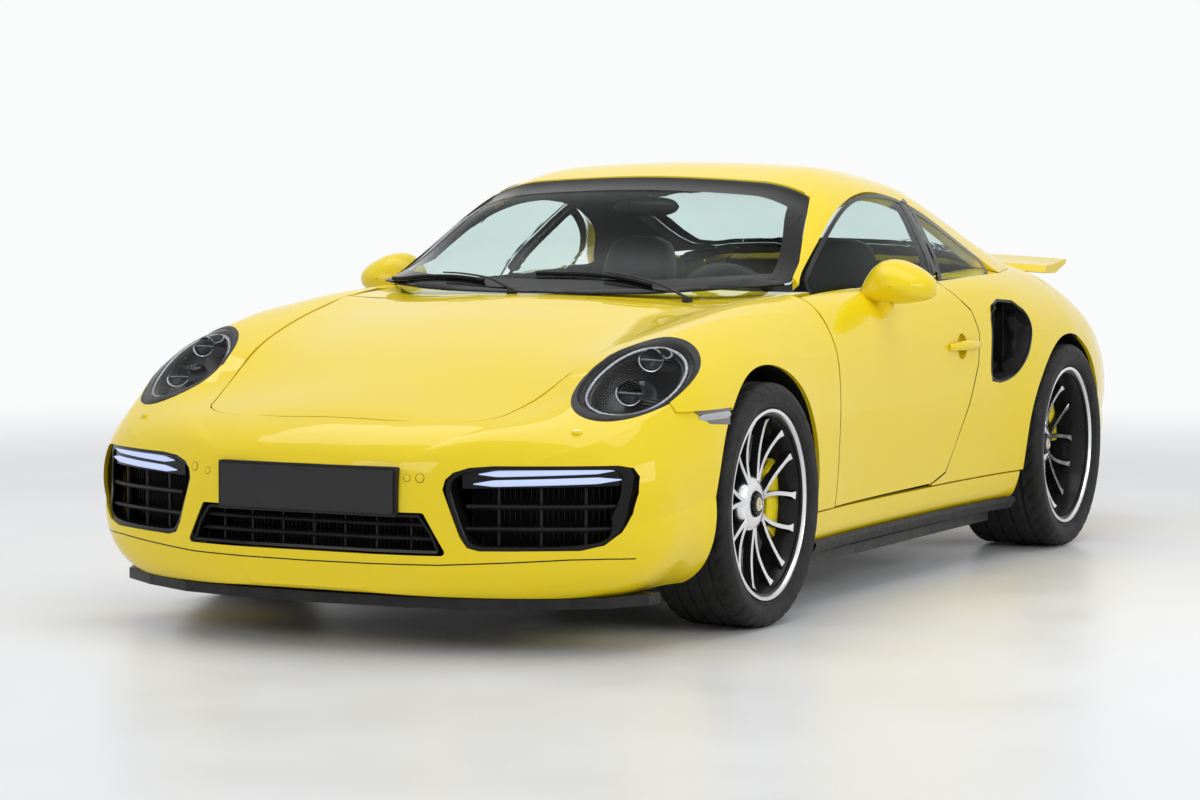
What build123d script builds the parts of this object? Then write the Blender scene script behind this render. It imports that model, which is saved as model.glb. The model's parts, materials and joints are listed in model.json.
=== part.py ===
"""Rear-engined two-door coupe: body, glass, cabin, running gear and the pieces that move.

Frame: millimetres, +Z up from the ground, the nose towards -Y and the car's left side towards +X.
The origin is on the ground, midway between the ends and between the sides.
"""

import os
from math import atan2, cos, hypot, pi, radians, sin, tan

from build123d import *

os.makedirs("parts", exist_ok=True)

# ---------------------------------------------------------------- driving dimensions
wheelbase = 2450.0
front_overhang = 995.0
rear_overhang = 1062.0
ride_height = 118.0  # underside of the floor above the ground

front_track = 1540.0
rear_track = 1568.0
front_tyre_radius = 338.0
rear_tyre_radius = 344.0
front_tyre_width = 240.0
rear_tyre_width = 296.0
rim_flange_radius = 273.0
rim_barrel_wall = 12.0
front_arch_gap = 46.0  # tyre to the edge of the wheel arch
rear_arch_gap = 34.0
hub_bore_radius = 35.5
spoke_pairs = 7

shut_gap = 5.0  # between neighbouring panels
skin = 12.0  # fenders, quarters and bumpers
lid_thickness = 26.0
roof_thickness = 34.0
cowl_gap = 13.0  # behind the hood and ahead of the engine lid, where they turn
door_gap = 8.5
door_skin = 14.0
door_thickness = 105.0
door_step = 26.0  # inner part of a door stands back from its skin
pillar_thickness = 40.0
glass_flange = 22.0  # how far a frame reaches behind its glass
glass_thickness = 5.0
seat_gap = 0.3  # a piece at rest on another

steer_lock = 35.0
kingpin_inset = 56.0

front_axle_y = -(wheelbase + front_overhang + rear_overhang) / 2 + front_overhang
rear_axle_y = front_axle_y + wheelbase
nose_y = front_axle_y - front_overhang
tail_y = rear_axle_y + rear_overhang
front_arch_radius = front_tyre_radius + front_arch_gap
rear_arch_radius = rear_tyre_radius + rear_arch_gap
kingpin_x = front_track / 2 - kingpin_inset

# Lower body, one row for each cross-section. s is the share of the wheelbase behind the front axle and
# dy what is added to it. The other columns are half widths (x...) and heights (z...) of the section's
# corners, from the bottom edge up: bottom, lower side, waist (widest), shoulder, ridge, valley, centre.
BODY_COLUMNS = "s dy xb zb xl zl xw zw xs zs xr zr xv zv zc".split()
BODY_ROWS = [
    (0, -995, 190, 170, 200, 290, 204, 380, 200, 430, 180, 466, 100, 486, 492),
    (0, -978, 290, 160, 306, 285, 312, 382, 306, 448, 272, 492, 160, 516, 524),
    (0, -940, 414, 155, 434, 283, 444, 386, 434, 468, 384, 522, 240, 548, 558),
    (0, -880, 556, 152, 580, 285, 592, 394, 578, 490, 500, 548, 320, 578, 592),
    (0, -800, 694, 151, 726, 288, 744, 406, 718, 512, 600, 574, 400, 604, 624),
    (0, -700, 782, 150, 820, 292, 838, 430, 798, 548, 668, 612, 440, 628, 662),
    (0, -560, 822, 152, 860, 300, 876, 460, 836, 610, 680, 690, 460, 676, 700),
    (0, -380, 842, 155, 878, 320, 892, 510, 862, 690, 700, 792, 480, 742, 752),
    (0, 0, 846, 160, 880, 340, 894, 560, 872, 732, 730, 866, 520, 824, 846),
    (0, 400, 838, 165, 864, 340, 874, 580, 858, 752, 745, 896, 545, 880, 905),
    (0.33, 0, 826, 170, 848, 340, 860, 590, 852, 765, 786, 905, 560, 905, 915),
    (0.55, 0, 828, 172, 852, 340, 864, 590, 858, 780, 795, 915, 560, 915, 920),
    (0.76, 0, 846, 172, 876, 340, 888, 600, 880, 790, 802, 930, 560, 945, 950),
    (1, -270, 872, 170, 918, 345, 928, 615, 908, 785, 780, 936, 560, 970, 982),
    (1, 0, 884, 170, 930, 350, 941, 620, 910, 778, 760, 932, 540, 984, 1003),
    (1, 340, 856, 182, 904, 355, 916, 600, 880, 750, 730, 894, 520, 946, 964),
    (1, 620, 790, 205, 838, 360, 852, 580, 816, 712, 690, 830, 480, 866, 882),
    (1, 820, 690, 225, 748, 365, 768, 560, 740, 670, 634, 766, 430, 802, 816),
    (1, 960, 540, 255, 606, 372, 632, 540, 610, 632, 530, 700, 370, 732, 742),
    (1, 1036, 380, 290, 440, 390, 464, 530, 448, 594, 390, 646, 270, 672, 680),
    (1, 1062, 240, 330, 290, 405, 308, 520, 300, 566, 260, 606, 170, 626, 632),
]

# Glasshouse, in the same way: glass foot, roof rail, roof shoulder, centre.
CABIN_COLUMNS = "s dy xg zg xr zr xt zt zc".split()
CABIN_ROWS = [
    (0, 285, 480, 842, 440, 866, 250, 882, 889),
    (0, 440, 672, 872, 604, 922, 350, 946, 954),
    (0, 640, 712, 872, 660, 950, 480, 1010, 1030),
    (0, 900, 752, 880, 630, 1082, 460, 1150, 1172),
    (0, 1160, 776, 888, 596, 1190, 430, 1250, 1271),
    (0.575, 0, 790, 896, 580, 1220, 415, 1277, 1295),
    (0.72, 0, 796, 910, 570, 1200, 410, 1256, 1275),
    (1, -340, 786, 925, 566, 1126, 410, 1182, 1202),
    (1, 0, 748, 935, 562, 1012, 405, 1058, 1076),
    (1, 200, 716, 900, 566, 945, 403, 975, 986),
    (1, 330, 700, 870, 560, 905, 400, 925, 934),
]


# ---------------------------------------------------------------- section curves
def smooth(places, values, at):
    """Cubic through the values that doesn't overshoot them."""
    last = len(places) - 1
    i = max(0, min(last - 1, sum(place <= at for place in places) - 1))
    slopes = [(values[k + 1] - values[k]) / (places[k + 1] - places[k]) for k in range(last)]

    def tangent(k):
        if k in (0, last):
            return slopes[min(k, last - 1)]
        before, after = slopes[k - 1], slopes[k]
        return 2 * before * after / (before + after) if before * after > 0 else 0.0

    step = places[i + 1] - places[i]
    t = (at - places[i]) / step
    return (
        (2 * t**3 - 3 * t**2 + 1) * values[i]
        + (t**3 - 2 * t**2 + t) * step * tangent(i)
        + (3 * t**2 - 2 * t**3) * values[i + 1]
        + (t**3 - t**2) * step * tangent(i + 1)
    )


class Form:
    """A body form given by its table of cross-sections."""

    def __init__(self, rows, columns, corners, foot=()):
        self.rows, self.columns, self.corners, self.foot = rows, columns, corners, foot
        self.places = [front_axle_y + row[0] * wheelbase + row[1] for row in rows]

    def named(self, y):
        return {
            name: smooth(self.places, [row[i] for row in self.rows], y)
            for i, name in enumerate(self.columns)
            if i > 1
        }

    def half(self, y):
        """Fine outline of the left half at y, from the bottom up to the centre line: (x, z) points."""
        r = self.named(y)
        corners = [(r["x" + k], r["z" + k]) for k in self.corners] + [(0.0, r["zc"])]
        if self.foot:
            corners.insert(0, (corners[0][0] + self.foot[0], corners[0][1] + self.foot[1]))
        whole = [(-corners[0][0], corners[0][1])] + corners + [(-corners[-2][0], corners[-2][1])]
        points = []
        for a, p, b in zip(whole, whole[1:], whole[2:]):
            before, after = hypot(p[0] - a[0], p[1] - a[1]), hypot(b[0] - p[0], b[1] - p[1])
            run = corner_share * min(before, after)
            start = [p[k] - (p[k] - a[k]) / before * run for k in (0, 1)]
            end = [p[k] + (b[k] - p[k]) / after * run for k in (0, 1)]
            for step in range(9):
                t = step / 8
                points.append(
                    tuple((1 - t) ** 2 * start[k] + 2 * t * (1 - t) * p[k] + t * t * end[k] for k in (0, 1))
                )
        return [q for q in points if q[0] >= 0] + [(0.0, [q for q in points if q[0] >= 0][-1][1])]

    def x_at(self, y, z):
        """Half width at a height, on the side of the form."""
        return crossing(self.half(y), 1, z)[0]

    def z_at(self, y, x):
        """Height at a distance from the centre line, on top of the form."""
        return crossing(self.half(y)[::-1], 0, x)[1]


def crossing(points, axis, value):
    """Where a path first passes a value along one of its axes."""
    for a, b in zip(points, points[1:]):
        low, high = min(a[axis], b[axis]), max(a[axis], b[axis])
        if low <= value <= high and high > low:
            t = (value - a[axis]) / (b[axis] - a[axis])
            return (a[0] + t * (b[0] - a[0]), a[1] + t * (b[1] - a[1]))
    return points[-1]


def spread(points, count):
    """That many points evenly along a path, with the normals to its left there."""
    lengths = [0.0]
    for a, b in zip(points, points[1:]):
        lengths.append(lengths[-1] + hypot(b[0] - a[0], b[1] - a[1]))
    places, normals, j = [], [], 0
    for k in range(count):
        want = lengths[-1] * k / (count - 1)
        while j < len(points) - 2 and lengths[j + 1] < want:
            j += 1
        a, b = points[j], points[j + 1]
        run = lengths[j + 1] - lengths[j] or 1.0
        t = (want - lengths[j]) / run
        places.append((a[0] + t * (b[0] - a[0]), a[1] + t * (b[1] - a[1])))
        normals.append((-(b[1] - a[1]) / run, (b[0] - a[0]) / run))
    normals = [
        unit((normals[max(k - 1, 0)][0] + n[0] + normals[min(k + 1, count - 1)][0],
              normals[max(k - 1, 0)][1] + n[1] + normals[min(k + 1, count - 1)][1]))
        for k, n in enumerate(normals)
    ]
    return places, normals


def unit(v):
    size = hypot(*v) or 1.0
    return (v[0] / size, v[1] / size)


def part_of(points, low, high):
    """The stretch of a half outline between two ends, each ("z", height) on the side, ("x", distance) on
    top, or None for the outline's own end."""
    def place(end, path):
        axis = "xz".index(end[0])
        for k, (a, b) in enumerate(zip(path, path[1:])):
            if min(a[axis], b[axis]) <= end[1] <= max(a[axis], b[axis]) and a[axis] != b[axis]:
                t = (end[1] - a[axis]) / (b[axis] - a[axis])
                return k, (a[0] + t * (b[0] - a[0]), a[1] + t * (b[1] - a[1]))
        return None

    start, stop = 0, len(points)
    first, last = [], []
    for end, is_low in ((low, True), (high, False)):
        if end is None:
            continue
        on_top = end[0] == "x"
        found = place(end, points[::-1] if on_top else points)
        if not found:
            continue
        index = len(points) - 2 - found[0] if on_top else found[0]
        if is_low:
            start, first = index + 1, [found[1]]
        else:
            stop, last = index + 1, [found[1]]
    return first + points[start:stop] + last


def arc_chain(points, y):
    """Edges through an odd number of (x, z) points at y: an arc for each three."""
    edges = []
    for a, m, b in zip(points[0::2], points[1::2], points[2::2]):
        chord = unit((b[0] - a[0], b[1] - a[1]))
        bulge = (m[0] - a[0]) * -chord[1] + (m[1] - a[1]) * chord[0]
        if abs(bulge) < 0.02:
            m = (m[0] - chord[1] * 0.03, m[1] + chord[0] * 0.03)
        edges.append(Edge.make_three_point_arc((a[0], y, a[1]), (m[0], y, m[1]), (b[0], y, b[1])))
    return edges


def strip_wire(form, y, low, high, depth, thickness, arcs, whole):
    """Closed section of a sheet that follows the form from depth to depth + thickness under its surface."""
    path = part_of(form.half(y), low, high)
    places, normals = spread(path, 2 * arcs + 1)

    def moved(amount):
        return [(p[0] + n[0] * amount, p[1] + n[1] * amount) for p, n in zip(places, normals)]

    top, under = moved(depth), moved(depth + thickness)
    if whole:
        top = [(max(p[0], 0.0), p[1]) for p in top]
        under = [(max(p[0], 0.0), p[1]) for p in under]
        top[-1], under[-1] = (0.0, top[-1][1]), (0.0, under[-1][1])
        top += [(-p[0], p[1]) for p in top[-2::-1]]
        under += [(-p[0], p[1]) for p in under[-2::-1]]
    edges = arc_chain(top, y)
    edges.append(Edge.make_line((top[-1][0], y, top[-1][1]), (under[-1][0], y, under[-1][1])))
    edges += arc_chain(under[::-1], y)
    edges.append(Edge.make_line((under[0][0], y, under[0][1]), (top[0][0], y, top[0][1])))
    return Wire(edges)


def sheet(form, stations, thickness, depth=0.0, arcs=4, whole=False):
    """Panel lofted through stations (y, low end, high end). whole carries it over to the right side."""
    return Solid.make_loft(
        [strip_wire(form, y, low, high, depth, thickness, arcs, whole) for y, low, high in stations]
    )


def block(form, ys, depth, arcs=5, bottom=None):
    """Solid whose sections fill the form at each y, a depth under its surface."""
    wires = []
    for y in ys:
        places, normals = spread(part_of(form.half(y), bottom, None), 2 * arcs + 1)
        half = [(max(p[0] + n[0] * depth, 0.0), p[1] + n[1] * depth) for p, n in zip(places, normals)]
        half[-1] = (0.0, half[-1][1])
        half[0] = (half[0][0], half[0][1] + depth)
        edges = arc_chain(half + [(-p[0], p[1]) for p in half[-2::-1]], y)
        edges.append(Edge.make_line((-half[0][0], y, half[0][1]), (half[0][0], y, half[0][1])))
        wires.append(Wire(edges))
    return Solid.make_loft(wires)


corner_share = 0.46
body = Form(BODY_ROWS, BODY_COLUMNS, "blwsrv")
cabin = Form(CABIN_ROWS, CABIN_COLUMNS, "grt", foot=(-40, -160))


# ---------------------------------------------------------------- outline helpers
def outline_face(points, plane, radius=0.0):
    with BuildSketch(plane) as sketch:
        with BuildLine():
            Polyline(points, close=True)
        make_face()
        if radius:
            fillet(sketch.vertices(), radius)
    return sketch.sketch


side_plane = Plane(origin=(0, 0, 0), x_dir=(0, 1, 0), z_dir=(1, 0, 0))
front_plane = Plane(origin=(0, 0, 0), x_dir=(1, 0, 0), z_dir=(0, -1, 0))


def side_prism(points, x0, x1, radius=0.0):
    """Outline in (y, z), extruded across the car from x0 to x1."""
    return extrude(outline_face(points, side_plane.offset(x0), radius), x1 - x0)


def top_prism(points, z0, z1, radius=0.0):
    return extrude(outline_face(points, Plane.XY.offset(z0), radius), z1 - z0)


def front_prism(points, y0, y1, radius=0.0):
    """Outline in (x, z), extruded back from y0 to y1."""
    return extrude(outline_face(points, front_plane.offset(-y0), radius), y0 - y1)


def x_cylinder(radius, y, z, x0, x1):
    return Pos((x0 + x1) / 2, y, z) * Rot(0, 90, 0) * Cylinder(radius, abs(x1 - x0))


def z_cylinder(radius, x, y, z0, z1):
    return Pos(x, y, (z0 + z1) / 2) * Cylinder(radius, z1 - z0)


def box(x0, x1, y0, y1, z0, z1):
    return Pos((x0 + x1) / 2, (y0 + y1) / 2, (z0 + z1) / 2) * Box(x1 - x0, y1 - y0, z1 - z0)


def flipped(shape):
    return mirror(shape, about=Plane.YZ)


def both(shape):
    """A left-hand solid and its mirror image, as solids of one node."""
    return [shape, flipped(shape)]


def front(offset):
    return front_axle_y + offset


def rear(offset):
    return rear_axle_y + offset


def save(node, *shapes):
    """Writes the solids of one node."""
    solids = [solid for shape in shapes for solid in shape.solids()]
    export_step(Compound(children=solids) if len(solids) > 1 else solids[0], f"parts/{node}.step")
    volume = sum(solid.volume for solid in solids)
    print(f"{node}: {len(solids)} solids, {volume / 1e3:.0f} cm3")


def save_pair(node, shape):
    """Writes a left-hand piece and its mirror image as two nodes."""
    save(f"{node}_left", shape)
    save(f"{node}_right", flipped(shape))


# ---------------------------------------------------------------- outlines
# Ends of the panels along the car.
nose_end = front(-268)  # bumper and fender meet at the wheel arch
hood_front, hood_rear = front(-851), front(290)
door_front, door_rear = front(544), rear(-757)
screen_base, screen_top = front(318), front(1064)
rear_glass_front, rear_glass_rear = rear(-468), rear(120)
lid_front, lid_rear = rear(182), rear(872)
tail_end = rear(300)  # quarter and rear bumper meet

# Half widths of the middle panels at distances behind the front or rear axle.
HOOD_WIDTHS = [(-851, 150), (-838, 300), (-800, 402), (-752, 446), (-524, 500), (-240, 548), (60, 592), (290, 628)]
SCREEN_WIDTHS = [(318, 130), (345, 320), (400, 506), (480, 612), (640, 664), (850, 612), (1064, 546)]
REAR_GLASS_WIDTHS = [(-468, 452), (-430, 500), (-330, 524), (-100, 524), (60, 512), (120, 440)]
LID_WIDTHS = [(182, 440), (210, 520), (300, 566), (560, 585), (740, 540), (830, 430), (872, 300)]
ROOF_WIDTHS = [(1076, 536), (1400, 530), (1970, 516)]

# Top edge of the side glass, from the front to the rear: distance behind the front axle, height.
GLASS_TOP = [(650, 912), (760, 975), (900, 1046), (1080, 1130), (1240, 1175), (1420, 1192), (1600, 1184),
             (1760, 1150), (1900, 1095), (2020, 1030), (2080, 975)]  # fmt: skip
belt_clearance = 0.8  # side glass above the top of the door

# Side view, (y, z): what is behind the slanted rear edge of the door.
door_tail = [
    (rear(-1160), 200), (rear(-1145), 288), (rear(-1100), 296), (rear(-1000), 322), (rear(-836), 528),
    (rear(-770), 655), (rear(-757), 744), (rear(-782), 820), (rear(-891), 892), (rear(-905), 945),
    (rear(-600), 945), (rear(-600), 200),
]  # fmt: skip
intake_outline = [
    (rear(-588), 582), (rear(-655), 590), (rear(-664), 640), (rear(-656), 710), (rear(-643), 790), (rear(-608), 832),
    (rear(-532), 852), (rear(-410), 844), (rear(-345), 806), (rear(-336), 760), (rear(-360), 710), (rear(-394), 658),
    (rear(-478), 603),
]  # fmt: skip
marker_outline = [(front(-452), 619), (front(-274), 621), (front(-288), 576), (front(-400), 584)]
post_outline = [(rear(-925), 890), (rear(-885), 890), (rear(-690), 1190), (rear(-730), 1190)]

# Front view, (x, z).
outer_intake = [(380, 432), (386, 458), (404, 476), (442, 489), (500, 494), (776, 495), (806, 488), (820, 466), (822, 424),
                (812, 372), (790, 324), (756, 292), (705, 279), (470, 276), (440, 284), (422, 312)]  # fmt: skip
middle_intake = [(-332, 372), (332, 372), (392, 262), (-392, 262)]
tail_light_outline = [(-560, 668), (560, 668), (760, 690), (760, 742), (560, 728), (-560, 728), (-760, 742), (-760, 690)]

lamp_centre = (697.0, front(-475), 700.0)
lamp_long, lamp_short = 224.0, 130.0  # half axes of the headlamp's rim

front_wheel_hole = x_cylinder(front_arch_radius, front_axle_y, front_tyre_radius, 300, 1100)
rear_wheel_hole = x_cylinder(rear_arch_radius, rear_axle_y, rear_tyre_radius, 300, 1100)


def even(first, last, count):
    """Evenly spaced distances, which keep a loft from swinging out between its sections."""
    return [first + (last - first) * k / (count - 1) for k in range(count)]


def between(rows, y):
    """Straight-line reading of a short table of (distance behind the front axle, value)."""
    d = y - front_axle_y
    for (d0, v0), (d1, v1) in zip(rows, rows[1:]):
        if d <= d1 or (d1, v1) == rows[-1]:
            return v0 + (v1 - v0) * (d - d0) / (d1 - d0)


def lamp_prism(grow=0.0, low=-200.0, high=200.0):
    """Elliptical cylinder about the left headlamp's axis, from low to high along it."""
    plane = Plane(origin=lamp_centre, x_dir=(0.20, 0.853, 0.481), z_dir=(0.216, -0.52, 0.827))
    return extrude(plane.offset(low) * Ellipse(lamp_long + grow, lamp_short + grow), high - low)


def mid_prism(widths, start, grow, z0, z1):
    """Plan outline of a middle panel, moved out by grow, as a prism."""
    places, values = [d for d, _ in widths], [w for _, w in widths]
    fine = sorted(places + [(a + b) / 2 for a, b in zip(places, places[1:])])
    half = [(smooth(places, values, d) + grow, start(d)) for d in fine]
    half = [(half[0][0], half[0][1] - grow)] + half[1:-1] + [(half[-1][0], half[-1][1] + grow)]
    return top_prism(half + [(-x, y) for x, y in half[::-1]], z0, z1)


def middle_panel(form, widths, start, cover, thickness, count=9, arcs=3):
    """Panel across the centre line, trimmed to a plan outline. cover is its half width before the trim."""
    places = even(widths[0][0], widths[-1][0], count)
    covers = even(*cover, count) if len(cover) == 2 else cover
    stations = [(start(d), ("x", w), None) for d, w in zip(places, covers)]
    return sheet(form, stations, thickness, whole=True, arcs=arcs) & mid_prism(widths, start, 0, 400, 1400)


# ---------------------------------------------------------------- hood and front end
hood_pin_y, hood_pin_x = hood_rear - 16, 180.0
hood_pin_z = body.z_at(hood_pin_y, hood_pin_x) - 12
hinge_pin_radius, running_gap = 4.0, 0.05


def lid_hinge_cuts(shape, x, y, z, away):
    """Cuts a lid's two hinge slots and their pin bores. away points from the lid over its hinge edge."""
    low, high = (y - 12, y + 60) if away > 0 else (y - 60, y + 12)
    for cut in both(box(x - 9, x + 9, low, high, z - 80, z + 80)) + both(
        x_cylinder(hinge_pin_radius + running_gap, y, z, x - 24, x + 24)
    ):
        shape -= cut
    return shape


def lid_hinge(x, y, z, bottom):
    """Upright bracket with a cross pin, standing on bottom."""
    post = box(x - 6, x + 6, y - 8, y + 8, bottom, z) + x_cylinder(8, y, z, x - 6, x + 6)
    return post + x_cylinder(hinge_pin_radius, y, z, x - 22, x + 22)


hood = middle_panel(body, HOOD_WIDTHS, front, (470, 672), lid_thickness, count=10)
hood = lid_hinge_cuts(hood, hood_pin_x, hood_pin_y, hood_pin_z, 1)
save("hood", hood)

bumper_ys = [front(d) for d in (-995, -978, -940, -880, -800, -700, -560, -400, -268)]
nose_shell = block(body, bumper_ys, 0) - block(
    body, [bumper_ys[0] + skin] + [y + 11 for y in bumper_ys[1:-1]] + [nose_end + 20], skin
)
hood_hole = mid_prism(HOOD_WIDTHS, front, shut_gap, 520, 1000)
bumper = nose_shell - hood_hole - box(-1000, 1000, front(-516), nose_end + 30, 620, 1000)
lamp_hole = lamp_prism(seat_gap)
intake_hole = front_prism(outer_intake, nose_y - 20, front(-560))
for cut in both(front_wheel_hole) + both(lamp_hole) + both(intake_hole):
    bumper -= cut
bumper -= front_prism(middle_intake, nose_y - 20, front(-900), 10)
marker_hole = side_prism(marker_outline, 700, 1000)
for cut in both(marker_hole):
    bumper -= cut
save("front_bumper", max(bumper.solids(), key=lambda solid: solid.volume))

fender_ys = [front(d) for d in even(-514, 544 - door_gap, 8)]
fender_inner = HOOD_WIDTHS[-1][1] + shut_gap
fender = sheet(body, [(y, ("z", 286), ("x", between([(-514, 484), (290, fender_inner - 6)], y))) for y in fender_ys], skin, arcs=5)
fender -= hood_hole + box(-fender_inner, fender_inner, front(284), front(700), 700, 1000)
fender = fender - front_wheel_hole - box(600, 1100, nose_y, nose_end, 200, 620 + seat_gap) - lamp_hole - marker_hole
save_pair("front_fender", max(fender.solids(), key=lambda solid: solid.volume))

cowl_edge = 707.0
cowl = sheet(body, [(y, ("x", cowl_edge), None) for y in (front(d) for d in even(290 + cowl_gap, 676, 5))], skin, whole=True, arcs=3)
for notch in both(box(fender_inner - seat_gap, 800, front(200), door_front, 700, 1000)):
    cowl -= notch
save("cowl", cowl)


# ---------------------------------------------------------------- doors
def side_ends(places, low, high):
    return [(y, ("z", low(y)), ("x", high(y))) for y in places]


def grown(points, amount):
    """Outline moved outwards by amount, or inwards where it is negative."""
    area = sum(a[0] * b[1] - b[0] * a[1] for a, b in zip(points, points[1:] + points[:1]))
    side = amount if area > 0 else -amount
    moved = []
    for a, p, b in zip(points[-1:] + points[:-1], points, points[1:] + points[:1]):
        u, v = unit((p[0] - a[0], p[1] - a[1])), unit((b[0] - p[0], b[1] - p[1]))
        n = (u[1] + v[1], -u[0] - v[0])
        size = (n[0] ** 2 + n[1] ** 2) / 2
        moved.append((p[0] + side * n[0] / size, p[1] + side * n[1] / size))
    return moved


door_ys = [door_front, front(800), front(1200), rear(-900), door_rear]
door_low = lambda y: between([(544, 288), (2450, 302)], y)
door = sheet(body, side_ends(door_ys, door_low, lambda y: 735), door_skin, arcs=5)
door_inner_ys = [front(664), front(900), front(1300), rear(-830)]
door_inner = sheet(
    body,
    side_ends(door_inner_ys, lambda y: door_low(y) + door_step, lambda y: 761),
    door_thickness - door_skin, depth=door_skin, arcs=5,
)  # fmt: skip
door = (door - side_prism(door_tail, 600, 1100)) + (door_inner - side_prism(grown(door_tail, door_step), 600, 1100))
door_hinge_x, door_hinge_y = 836.0, front(619)
hinge_heights = (440.0, 690.0)
hinge_post_x = 742.0
for z in hinge_heights:
    for low in (z - 20, z + 12):
        leaf = box(door_hinge_x - 8, door_hinge_x + 10, door_hinge_y, front(670), low, low + 8)
        door += leaf + z_cylinder(8, door_hinge_x, door_hinge_y, low, low + 8)
    door -= z_cylinder(5 + running_gap, door_hinge_x, door_hinge_y, z - 24, z + 24)
handle_y, handle_z = rear(-900), 712.0
handle_bowl = Pos(body.x_at(handle_y, handle_z) + 6, handle_y, handle_z) * Rot(0, 90, 0) * Cylinder(40, 44)
door -= handle_bowl
handle_bar = Pos(body.x_at(handle_y, handle_z) - 4, handle_y, handle_z) * Box(12, 150, 26)
handle_bar = fillet(handle_bar.edges(), 5)
door += handle_bar
ears = []
for z in hinge_heights:
    ear = box(hinge_post_x, door_hinge_x, door_hinge_y - 6, door_hinge_y + 6, z - 10, z + 10)
    ear += z_cylinder(6, door_hinge_x, door_hinge_y, z - 10, z + 10)
    ears.append(ear + z_cylinder(5, door_hinge_x, door_hinge_y, z - 20, z + 20))
door_ears = [piece for ear in ears for piece in both(ear)]


def belt_z(y):
    return body.z_at(y, 780)


def side_glass(places, thickness, depth, lower, post):
    """Side window between two distances, without what lies beyond the pillar at its end."""
    stations = [(y, ("z", belt_z(y) - lower), ("z", between(GLASS_TOP, y))) for y in (front(d) for d in places)]
    return sheet(cabin, stations, thickness, depth=depth, arcs=2) - side_prism(post, 300, 1000)


glass_slot = 14.0  # how deep the side glass stands in the door and the quarter panel
post_slope = (post_outline[3][0] - post_outline[0][0]) / (post_outline[3][1] - post_outline[0][1])


def beside_post(corner, gap, far):
    """Side view of everything to one side of the pillar, from a gap beside its edge through a corner to far."""
    low, high = 850.0, 1340.0
    edge = [(corner[0] + gap + post_slope * (z - corner[1]), z) for z in (low, high)]
    return [edge[0], (far, low), (far, high), edge[1]]


behind_post = beside_post(post_outline[0], -6, rear(-300))
ahead_of_post = beside_post(post_outline[1], seat_gap, front(1200))
door_glass_places, quarter_glass_places = even(690, 1900, 9), even(1480, 2066, 5)
door_glass = side_glass(door_glass_places, glass_thickness, 0, glass_slot, behind_post)
door -= side_glass(door_glass_places, glass_thickness + 2 * seat_gap, -seat_gap, glass_slot + seat_gap, behind_post)
save_pair("door", max(door.solids(), key=lambda solid: solid.volume))
save_pair("door_glass", door_glass)
quarter_glass = side_glass(quarter_glass_places, glass_thickness, 0, glass_slot, ahead_of_post)
quarter_slot = side_glass(
    quarter_glass_places, glass_thickness + 2 * seat_gap, -seat_gap, glass_slot + seat_gap, ahead_of_post
)
save("quarter_glass", *both(quarter_glass))

# ---------------------------------------------------------------- glasshouse
windscreen = middle_panel(cabin, SCREEN_WIDTHS, front, (470, 620, 668, 680, 660, 640, 590), glass_thickness, count=7)
windscreen -= block(body, [front(d) for d in even(200, 800, 6)], -0.4, bottom=("x", 820))
save("windscreen", windscreen)
rear_glass = middle_panel(cabin, REAR_GLASS_WIDTHS, rear, (560, 560), glass_thickness, count=6)
save("rear_glass", rear_glass)
roof = middle_panel(cabin, ROOF_WIDTHS, front, (575, 560), roof_thickness, count=6)
save("roof_panel", roof)

# Pillars and roof sides, trimmed to the panels that they carry.
rail_places = even(660, 2568, 16)


def rail_low(y):
    return max(between(GLASS_TOP, y) + shut_gap, body.z_at(y, 745) - 6) if y < front(2080) else body.z_at(y, 735) - 6


def rail_high(y):
    return between([(660, 630), (850, 590), (1076, 520), (1970, 495), (2568, 420)], y)


rail = sheet(cabin, side_ends([front(d) for d in rail_places], rail_low, rail_high), pillar_thickness, arcs=2)
rail -= block(body, [front(d) for d in even(600, 2640, 12)], -2, bottom=("x", 800))
for panel, start in ((SCREEN_WIDTHS, front), (ROOF_WIDTHS, front), (REAR_GLASS_WIDTHS, rear)):
    rail -= mid_prism(panel, start, seat_gap, 700, 1400)
post = sheet(
    cabin,
    [(y, ("z", belt_z(y) + 32), ("z", between(GLASS_TOP, y) + shut_gap + 12)) for y in (front(d) for d in even(1500, 1800, 4))],
    28, arcs=2,
)  # fmt: skip
rail += post & side_prism(post_outline, 300, 1000)
save("roof_rails", *both(max(rail.solids(), key=lambda solid: solid.volume)))


# ---------------------------------------------------------------- rear end
deck_half, deck_front, deck_rear = 590.0, rear(120) + seat_gap, lid_front - cowl_gap
lid_hole = mid_prism(LID_WIDTHS, rear, shut_gap, 700, 1100)


def quarter_high(y):
    return between([(1350, 702), (2300, 702), (2450, 600), (2600, 425), (2760, 425)], y)


quarter_ys = [rear(d) for d in even(-1100, 300, 12)]
quarter = sheet(body, side_ends(quarter_ys, lambda y: 286, quarter_high), skin, arcs=5)
door_edge = grown(door_tail, -shut_gap)[:10]
door_zone = [(rear(-1500), 100)] + [(door_edge[0][0], 100)] + door_edge[1:9] + [(door_edge[9][0], 1000), (rear(-1500), 1000)]
quarter = quarter - side_prism(door_zone, 600, 1100) - rear_wheel_hole
quarter -= side_prism(intake_outline, 700, 1100)
quarter = quarter - box(0, deck_half + seat_gap, rear(-1200), deck_rear + seat_gap, 700, 1100) - lid_hole - quarter_slot
quarter = max(quarter.solids(), key=lambda solid: solid.volume)
save_pair("rear_quarter", quarter)

intake_box = side_prism(grown(intake_outline, -seat_gap), 700, 1100) - side_prism(
    grown(intake_outline, -9), 740, 1100
)
intake_lining = intake_box & sheet(
    body, side_ends([rear(-700), rear(-500), rear(-340)], lambda y: 560, lambda y: 800), 110, depth=2, arcs=3
)
save("side_intakes", *both(intake_lining))

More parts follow.
